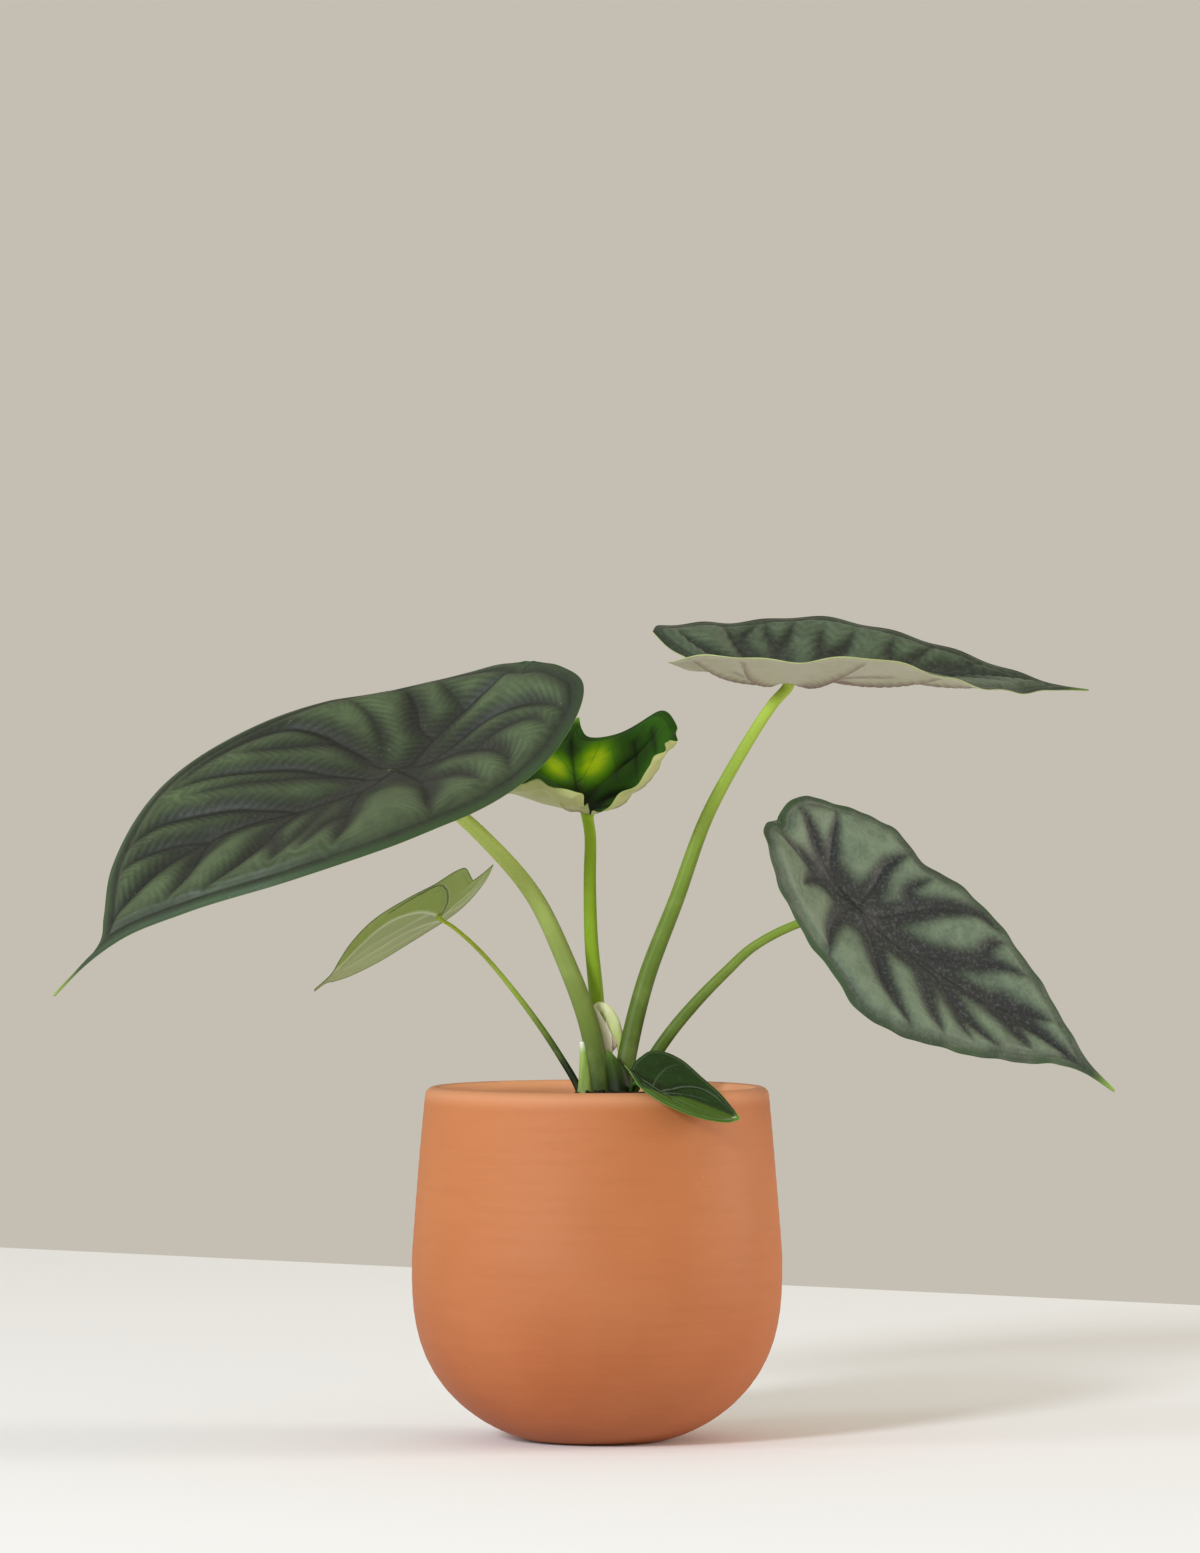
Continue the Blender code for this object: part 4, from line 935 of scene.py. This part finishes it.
def inner_radius(z):
    """The pot's inside at a height, rounder than the outside at the foot."""
    heel = HEEL_SHARE * FLOOR * max(0, 1 - z / BELLY_HEIGHT)
    return outer_radius(z - heel) - WALL


def throwing(z):
    """Shallow rings left by the thrower's fingers."""
    return MM * (0.035 * math.sin(z * 1050) + 0.022 * math.sin(z * 2710 + 1.3) + 0.012 * math.sin(z * 5900))


def terracotta_finish():
    """Smooth fired clay: soft clouds, very faint turning lines and a few specks; painted shade towards the
    foot, a painted highlight along the rim and painted light on the inside wall.
    """
    made = Finish("terracotta_clay", 0.62, 0.35)
    lines = made.noise(34, 6, 0.62, made.place((1, 1, 9)))
    fine = made.noise(120, 5, 0.6, made.place((1, 1, 12)))
    cloud = made.noise(14, 3, 0.5)
    height = made.add("SeparateXYZ", {0: made.place()}).outputs["Z"]
    # Painted shade: darker towards the foot.
    colour = made.mix(made.span(height, 0.0, 0.10), "#A0552B", "#AF6838")
    colour = made.mix(made.span(cloud, 0.35, 0.68, 0.0, 0.35), colour, "#BC764A")
    colour = made.mix(made.span(lines, 0.45, 0.75, 0.0, 0.16), colour, "#9C5526")
    colour = made.mix(made.span(fine, 0.55, 0.80, 0.0, 0.10), colour, "#CC8C60")
    # Painted highlight along the top of the rim.
    colour = made.mix(made.span(height, 0.1265, 0.1325, 0.0, 0.55), colour, "#D0946C")
    # Painted light on the inside wall.
    colour = made.mix(made.math("MULTIPLY", made.field("inside"), 0.8), colour, "#E6A070")
    pits = made.cells(190)
    sparse = made.span(made.noise(60, 2), 0.62, 0.65)
    pits = made.math("MULTIPLY", made.span(pits, 0.030, 0.050, 0.8, 0.0), sparse)
    colour = made.mix(pits, colour, "#5B3018")
    flecks = made.cells(240, made.place((1, 1, 1.4)))
    rare = made.span(made.noise(48, 2, 0.5, made.place((1.3, 1.1, 0.9))), 0.64, 0.67)
    flecks = made.math("MULTIPLY", made.span(flecks, 0.03, 0.05, 0.6, 0.0), rare)
    colour = made.mix(flecks, colour, "#F0C9A6")
    made.colour(colour)
    first = made.bump(lines, 0.0003, 0.25)
    second = made.bump(fine, 0.0002, 0.20, first)
    made.bump(made.noise(1400, 3, 0.6), 0.00008, 0.30, second)
    made.roughness(made.span(cloud, 0.3, 0.7, 0.56, 0.72))
    return made


def build_pot():
    """The pot: a profile up the outside, down through the hole and up the inside, turned once round."""
    lip_z = POT_HEIGHT - LIP_RISE
    levels = lip_z * np.linspace(1, 0, 150) ** 1.8
    outside = [(outer_radius(z) + throwing(z) * min(z / 0.01, 1), z) for z in levels]
    inside = [(inner_radius(z) + throwing(z + 0.02), z) for z in np.linspace(FLOOR, lip_z, 80)]
    middle = RIM_RADIUS - WALL / 2
    lip = [(middle - WALL / 2 * math.cos(a), lip_z + LIP_RISE * math.sin(a))
           for a in np.linspace(0, math.pi, 17)[1:-1]]
    base = [(FOOT_RADIUS * 0.6, 0.0), (HOLE_RADIUS, 0.0), (HOLE_RADIUS, FLOOR), (FOOT_RADIUS * 0.6, FLOOR)]
    bm = bmesh.new()
    ring = [bm.verts.new((radius, 0, z)) for radius, z in outside + base + inside + lip]
    edges = [bm.edges.new((a, b)) for a, b in zip(ring, ring[1:] + ring[:1])]
    bmesh.ops.spin(bm, geom=ring + edges, axis=(0, 0, 1), cent=(0, 0, 0), dvec=(0, 0, 0),
                   angle=2 * math.pi, steps=160, use_merge=True, use_duplicate=False)
    bmesh.ops.remove_doubles(bm, verts=bm.verts[:], dist=1e-6)
    bmesh.ops.recalc_face_normals(bm, faces=bm.faces[:])
    for vert in bm.verts:
        sway = noise.noise(vert.co * 22) * 0.20 * MM
        vert.co.x *= 1 + sway / 0.06
        vert.co.y *= 1 + sway / 0.06
    # Marks the inside wall, which the clay finish paints lighter as painted light.
    inside = [float(math.hypot(vert.co.x, vert.co.y) < outer_radius(vert.co.z) - 0.7 * WALL)
              for vert in bm.verts]
    return piece_from("pot_thrown", bm, [terracotta_finish()], "terracotta", "pot",
                      fields={"inside": ("FLOAT", inside)})


def mix_height(radius):
    """Height of the soil's smooth mound at a distance from the middle."""
    edge = POT_HEIGHT - SOIL_BELOW_RIM
    share = (radius - MOUND_TOP_RADIUS) / (MOUND_FOOT_RADIUS - MOUND_TOP_RADIUS)
    return CROWN[2] - (CROWN[2] - edge) * float(ease(share))


def soil_finish(name, dark, light):
    """Moist mix: dark grains, with painted shade as black pores between them."""
    made = Finish(name, 0.92, 0.25)
    colour = made.mix(made.span(made.noise(300, 6, 0.7), 0.35, 0.70), dark, light)
    # Painted shade in the pores between the grains.
    colour = made.mix(made.span(made.cells(700), 0.10, 0.28, 0.8, 0.0), colour, "#0E0A07")
    made.colour(colour)
    first = made.bump(made.noise(600, 6, 0.7), 0.0008, 0.9)
    made.bump(made.cells(1300), 0.0004, 0.6, first)
    return made


def soil_lump(x, y):
    """Small lumps, a dip at the left of the crown and a low heap at its front right."""
    spot = Vector((x * 1000, y * 1000, 0))
    lumps = sum(height * noise.noise(spot / size) for height, size in ((0.6, 9), (0.5, 3.7), (0.4, 1.6)))
    dip = 2.2 * float(ease((-x / MM - 6.5) / 4))
    heap = 1.2 * math.exp(-((x / MM - 5) / 9) ** 2 - ((y / MM + 12) / 9) ** 2)
    return MM * (lumps - dip + heap)


def build_soil():
    """Soil surface: a round sheet raised round the crown, closed below by a shallow bowl."""
    bm = bmesh.new()
    reach = outer_radius(mix_height(RIM_RADIUS)) - WALL + 0.1 * MM
    bmesh.ops.create_grid(bm, x_segments=150, y_segments=150, size=1.0)
    for vert in bm.verts:
        x, y = vert.co.x, vert.co.y
        wide = math.hypot(x, y)
        if wide > 0:
            fit = max(abs(x), abs(y)) / wide * reach
            x, y = x * fit, y * fit
        radius = math.hypot(x, y)
        rough = soil_lump(x, y) * min(1, (reach - radius) / (3 * MM))
        vert.co = (x, y, mix_height(radius) + rough - 0.3 * MM)
    made = bmesh.ops.extrude_face_region(bm, geom=bm.faces[:], use_keep_orig=True)
    for item in made["geom"]:
        if isinstance(item, bmesh.types.BMVert):
            radius = math.hypot(item.co.x, item.co.y)
            item.co.z = mix_height(RIM_RADIUS) - 6 * MM * (1 - (radius / reach) ** 2) - 0.5 * MM
    bmesh.ops.recalc_face_normals(bm, faces=bm.faces[:])
    return piece_from("soil_surface", bm, [soil_finish("soil_dark", "#1B130D", "#4A3726")], "soil",
                      "potting_mix")


def scatter(name, count, seed, size, finish):
    """Crumbs strewn over the soil."""
    rng = np.random.default_rng(seed)
    reach = outer_radius(mix_height(RIM_RADIUS)) - WALL - 2.2 * MM
    bm = bmesh.new()
    for _ in range(count):
        radius = reach * math.sqrt(rng.random())
        bearing = 2 * math.pi * rng.random()
        x, y = radius * math.cos(bearing), radius * math.sin(bearing)
        wide = MM * (size[0] + (size[1] - size[0]) * rng.random() ** 2)
        ball = bmesh.ops.create_icosphere(bm, subdivisions=1, radius=wide / 2)["verts"]
        stretch = Vector((1, 0.55 + 0.4 * rng.random(), 0.5 + 0.4 * rng.random()))
        for vert in ball:
            vert.co *= 1 + 0.35 * (rng.random() - 0.5)
            vert.co = Vector((vert.co.x * stretch.x, vert.co.y * stretch.y, vert.co.z * stretch.z))
        turn = Vector((rng.normal(), rng.normal(), rng.normal() + 1.5)).to_track_quat("Z", "Y").to_matrix()
        bmesh.ops.rotate(bm, verts=ball, cent=(0, 0, 0), matrix=turn)
        bmesh.ops.translate(bm, verts=ball, vec=(x, y, mix_height(radius) + soil_lump(x, y) + wide * 0.12))
    return piece_from(name, bm, [finish], "soil")


# ---------------------------------------------------------------- making

# What each blade's finishes take; PLAIN_LOOK holds what most of them share.
PLAIN_LOOK = {"specks_and_glints": 0.0, "trough_shade": 0.0, "grain": 0.12, "shine": 0.3, "under_edge": "#6F8A46",
              "rib_share": 0.8, "line_share": 0.8, "crease_shade_share": 0.7}
LOOKS = {
    "large_left": {
        "silver_and_lit": "#586846", "dark": "#2E3328", "crease_shade": "#383733", "margin": "#364A2C", "line": "#0F120D",
        "tail": "#7F9A36", "pale_grain": "#5E6056", "rim": "#3C5430", "pillow_span": (2.0, 11.5),
        "crease_shade_reach": 4.0, "line_share": 0.85, "gloss": 0.46, "shine": 0.20, "trough_shade": 0.30,
        "under": "#B4BE96", "under_mottle": "#8FA070", "rib": "#8A4A48"},
    "back": {
        "silver_and_lit": "#2E5C0C", "dark": "#142804", "crease_shade": "#172404", "margin": "#214408", "line": "#0B1404",
        "tail": "#5E8420", "pale_grain": "#3F5A20", "rim": "#AEB86C", "pillow_span": (2.0, 9.0),
        "crease_shade_reach": 3.0, "crease_shade_share": 0.5, "grain": 0.10, "gloss": 0.55, "shine": 0.03,
        "painted_backlight": ("#62A002", "#C8EE04"), "under": "#A8AA72", "under_mottle": "#9AA05E",
        "under_edge": "#A6AE66", "rib": "#5E3424", "rib_share": 0.75},
    "high_right": {
        "silver_and_lit": "#54644A", "dark": "#1F281A", "crease_shade": "#3A3E36", "margin": "#24341A", "line": "#10140E",
        "tail": "#5F7A34", "pale_grain": "#7F8878", "rim": "#C8CE88", "pillow_span": (1.8, 10.0),
        "crease_shade_reach": 5.0, "grain": 0.14, "gloss": 0.36, "shine": 0.40, "trough_shade": 0.25,
        "under": "#BAB69F", "under_mottle": "#AFAE8E", "under_edge": "#B2BA74", "rib": "#5A181E",
        "rib_share": 1.0},
    "low_right": {
        "silver_and_lit": "#6F8067", "dark": "#272B26", "crease_shade": "#303131", "margin": "#364B2E", "line": "#0E100F",
        "tail": "#7FA040", "pale_grain": "#7C7F79", "rim": "#39522E", "pillow_span": (3.2, 12.0),
        "crease_shade_reach": 7.0, "crease_shade_share": 0.85, "line_share": 0.85, "grain": 0.24, "gloss": 0.55,
        "trough_shade": 0.10, "under": "#A9B58C", "under_mottle": "#93A276", "rib": "#7E5048"},
    "small_left": {
        "silver_and_lit": "#6F8E50", "dark": "#4A6A34", "crease_shade": "#4A6434", "margin": "#5A7A3A", "line": "#2C4420",
        "tail": "#4A5A2A", "pale_grain": "#8AA06A", "rim": "#3F4A28", "pillow_span": (2.0, 7.0),
        "crease_shade_reach": 3.0, "crease_shade_share": 0.4, "line_share": 0.6, "gloss": 0.45,
        "under": "#92A65A", "under_mottle": "#83994E", "under_other": "#A0AE7A", "under_edge": "#5F7440",
        "under_loop": "#445826", "rib": "#DDE2C4", "rib_share": 0.85, "specks_and_glints": 0.6},
    # The small front leaf's pale lines are partly its pale veins, partly painted highlights along the
    # grooves.
    "small_front": {
        "silver_and_lit": "#183006", "dark": "#0D1D02", "crease_shade": "#0E1B03", "margin": "#3A6212", "line": "#8AA284",
        "tail": "#4F8428", "pale_grain": "#4F7A42", "rim": "#5E9230", "other": "#3A540C",
        "pillow_span": (2.0, 9.0), "crease_shade_reach": 2.5, "crease_shade_share": 0.4, "line_share": 0.5,
        "grain": 0.06, "gloss": 0.26, "shine": 0.28,
        "under": "#7C9A54", "under_mottle": "#6F8C48", "rib": "#A9BE7C"},
}

for leaf_name, leaf_sizes in LEAVES.items():
    look = {**PLAIN_LOOK, **LOOKS[leaf_name]}
    build_blade(leaf_name, leaf_sizes, blade_top_finish(leaf_name, look), blade_under_finish(leaf_name, look),
                blade_rim_finish(leaf_name, look["rim"]))
    build_stalk(leaf_name, leaf_sizes)

build_scale("bract_left", SCALES["bract_left"], "scale_green")
build_scale("sheath_front", SCALES["sheath_front"], "scale_green")
build_pale_sheath()
build_pot()
build_soil()
scatter("soil_crumbs", 1100, 5, (0.9, 2.6), soil_finish("soil_crumb_dark", "#120D09", "#352619"))

corm_skin = Finish("corm_bark", 0.8, 0.3)
bark_rings = corm_skin.noise(260, 5, 0.6, corm_skin.place((1, 1, 5)))
corm_skin.colour(corm_skin.mix(bark_rings, "#4A3420", "#8E6F48"))
corm_skin.bump(corm_skin.noise(400, 5, 0.6, corm_skin.place((1, 1, 4))), 0.0006, 0.6)
root_skin = Finish("root_fleshy", 0.6, 0.4)
root_skin.colour(root_skin.mix(root_skin.noise(350, 4, 0.6), "#C9B58E", "#8E7A56"))
root_skin.bump(root_skin.noise(900, 4, 0.6), 0.0003, 0.5)
for node_name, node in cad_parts.items():
    if node_name == "corm" or node_name.startswith("root_"):
        node.data.materials.clear()
        node.data.materials.append((corm_skin if node_name == "corm" else root_skin).material)


# ---------------------------------------------------------------- floor, light and camera

def stage_finish(name, shade, roughness):
    """A plain even finish."""
    made = Finish(name, roughness, 0.2)
    made.shader.inputs["Base Color"].default_value = tone(shade)
    return made


# The floor's far edge runs aslant.
floor_bm = bmesh.new()
bmesh.ops.create_grid(floor_bm, x_segments=1, y_segments=1, size=1.0)
FLOOR_CORNERS = {(-1, -1): (-7, -7), (1, -1): (7, -7), (-1, 1): (-7, 5.92), (1, 1): (7, -4.09)}
for vert in floor_bm.verts:
    x, y = FLOOR_CORNERS[(round(vert.co.x), round(vert.co.y))]
    vert.co = (x, y, 0)
floor_mesh = bpy.data.meshes.new("studio_floor")
floor_bm.to_mesh(floor_mesh)
floor_bm.free()
floor_mesh.materials.append(stage_finish("studio_floor_white", "#F6F6F6", 0.8).material)
studio_floor = bpy.data.objects.new("studio_floor", floor_mesh)
bpy.context.scene.collection.objects.link(studio_floor)

world = bpy.data.worlds.new("studio_air")
world.use_nodes = True
world.node_tree.nodes["Background"].inputs["Color"].default_value = tone("#C5BFB3")
world.node_tree.nodes["Background"].inputs["Strength"].default_value = 1.0
bpy.context.scene.world = world

LIGHT_AIM = (0, 0, 0.12)


def add_light(name, place, size, power, shade):
    """A round soft lamp aimed just below the pot's rim."""
    lamp = bpy.data.lights.new(name, "AREA")
    lamp.shape = "DISK"
    lamp.size = size
    lamp.energy = power
    lamp.color = tone(shade)[:3]
    made = bpy.data.objects.new(name, lamp)
    made.location = place
    made.rotation_euler = (Vector(LIGHT_AIM) - Vector(place)).to_track_quat("-Z", "Y").to_euler()
    bpy.context.scene.collection.objects.link(made)


add_light("key_soft", (-2.35, -3.75, 2.05), 0.9, 165, "#EAF4FF")
add_light("side_soft", (-4.3, -1.8, 1.4), 1.6, 62, "#EAF4FF")
add_light("fill_soft", (3.8, 0.2, 0.75), 1.8, 84, "#FFF4E8")

camera_data = bpy.data.cameras.new("portrait_camera")
camera_data.lens = 171.8
camera_data.sensor_width = 36
camera_data.clip_start = 0.05
camera_data.clip_end = 60
camera = bpy.data.objects.new("portrait_camera", camera_data)
camera.location = (0.0011, -2.8, 0.2505)
camera.rotation_euler = (math.radians(90), 0, 0)
bpy.context.scene.collection.objects.link(camera)
bpy.context.scene.camera = camera
bpy.context.scene.view_settings.view_transform = "Standard"
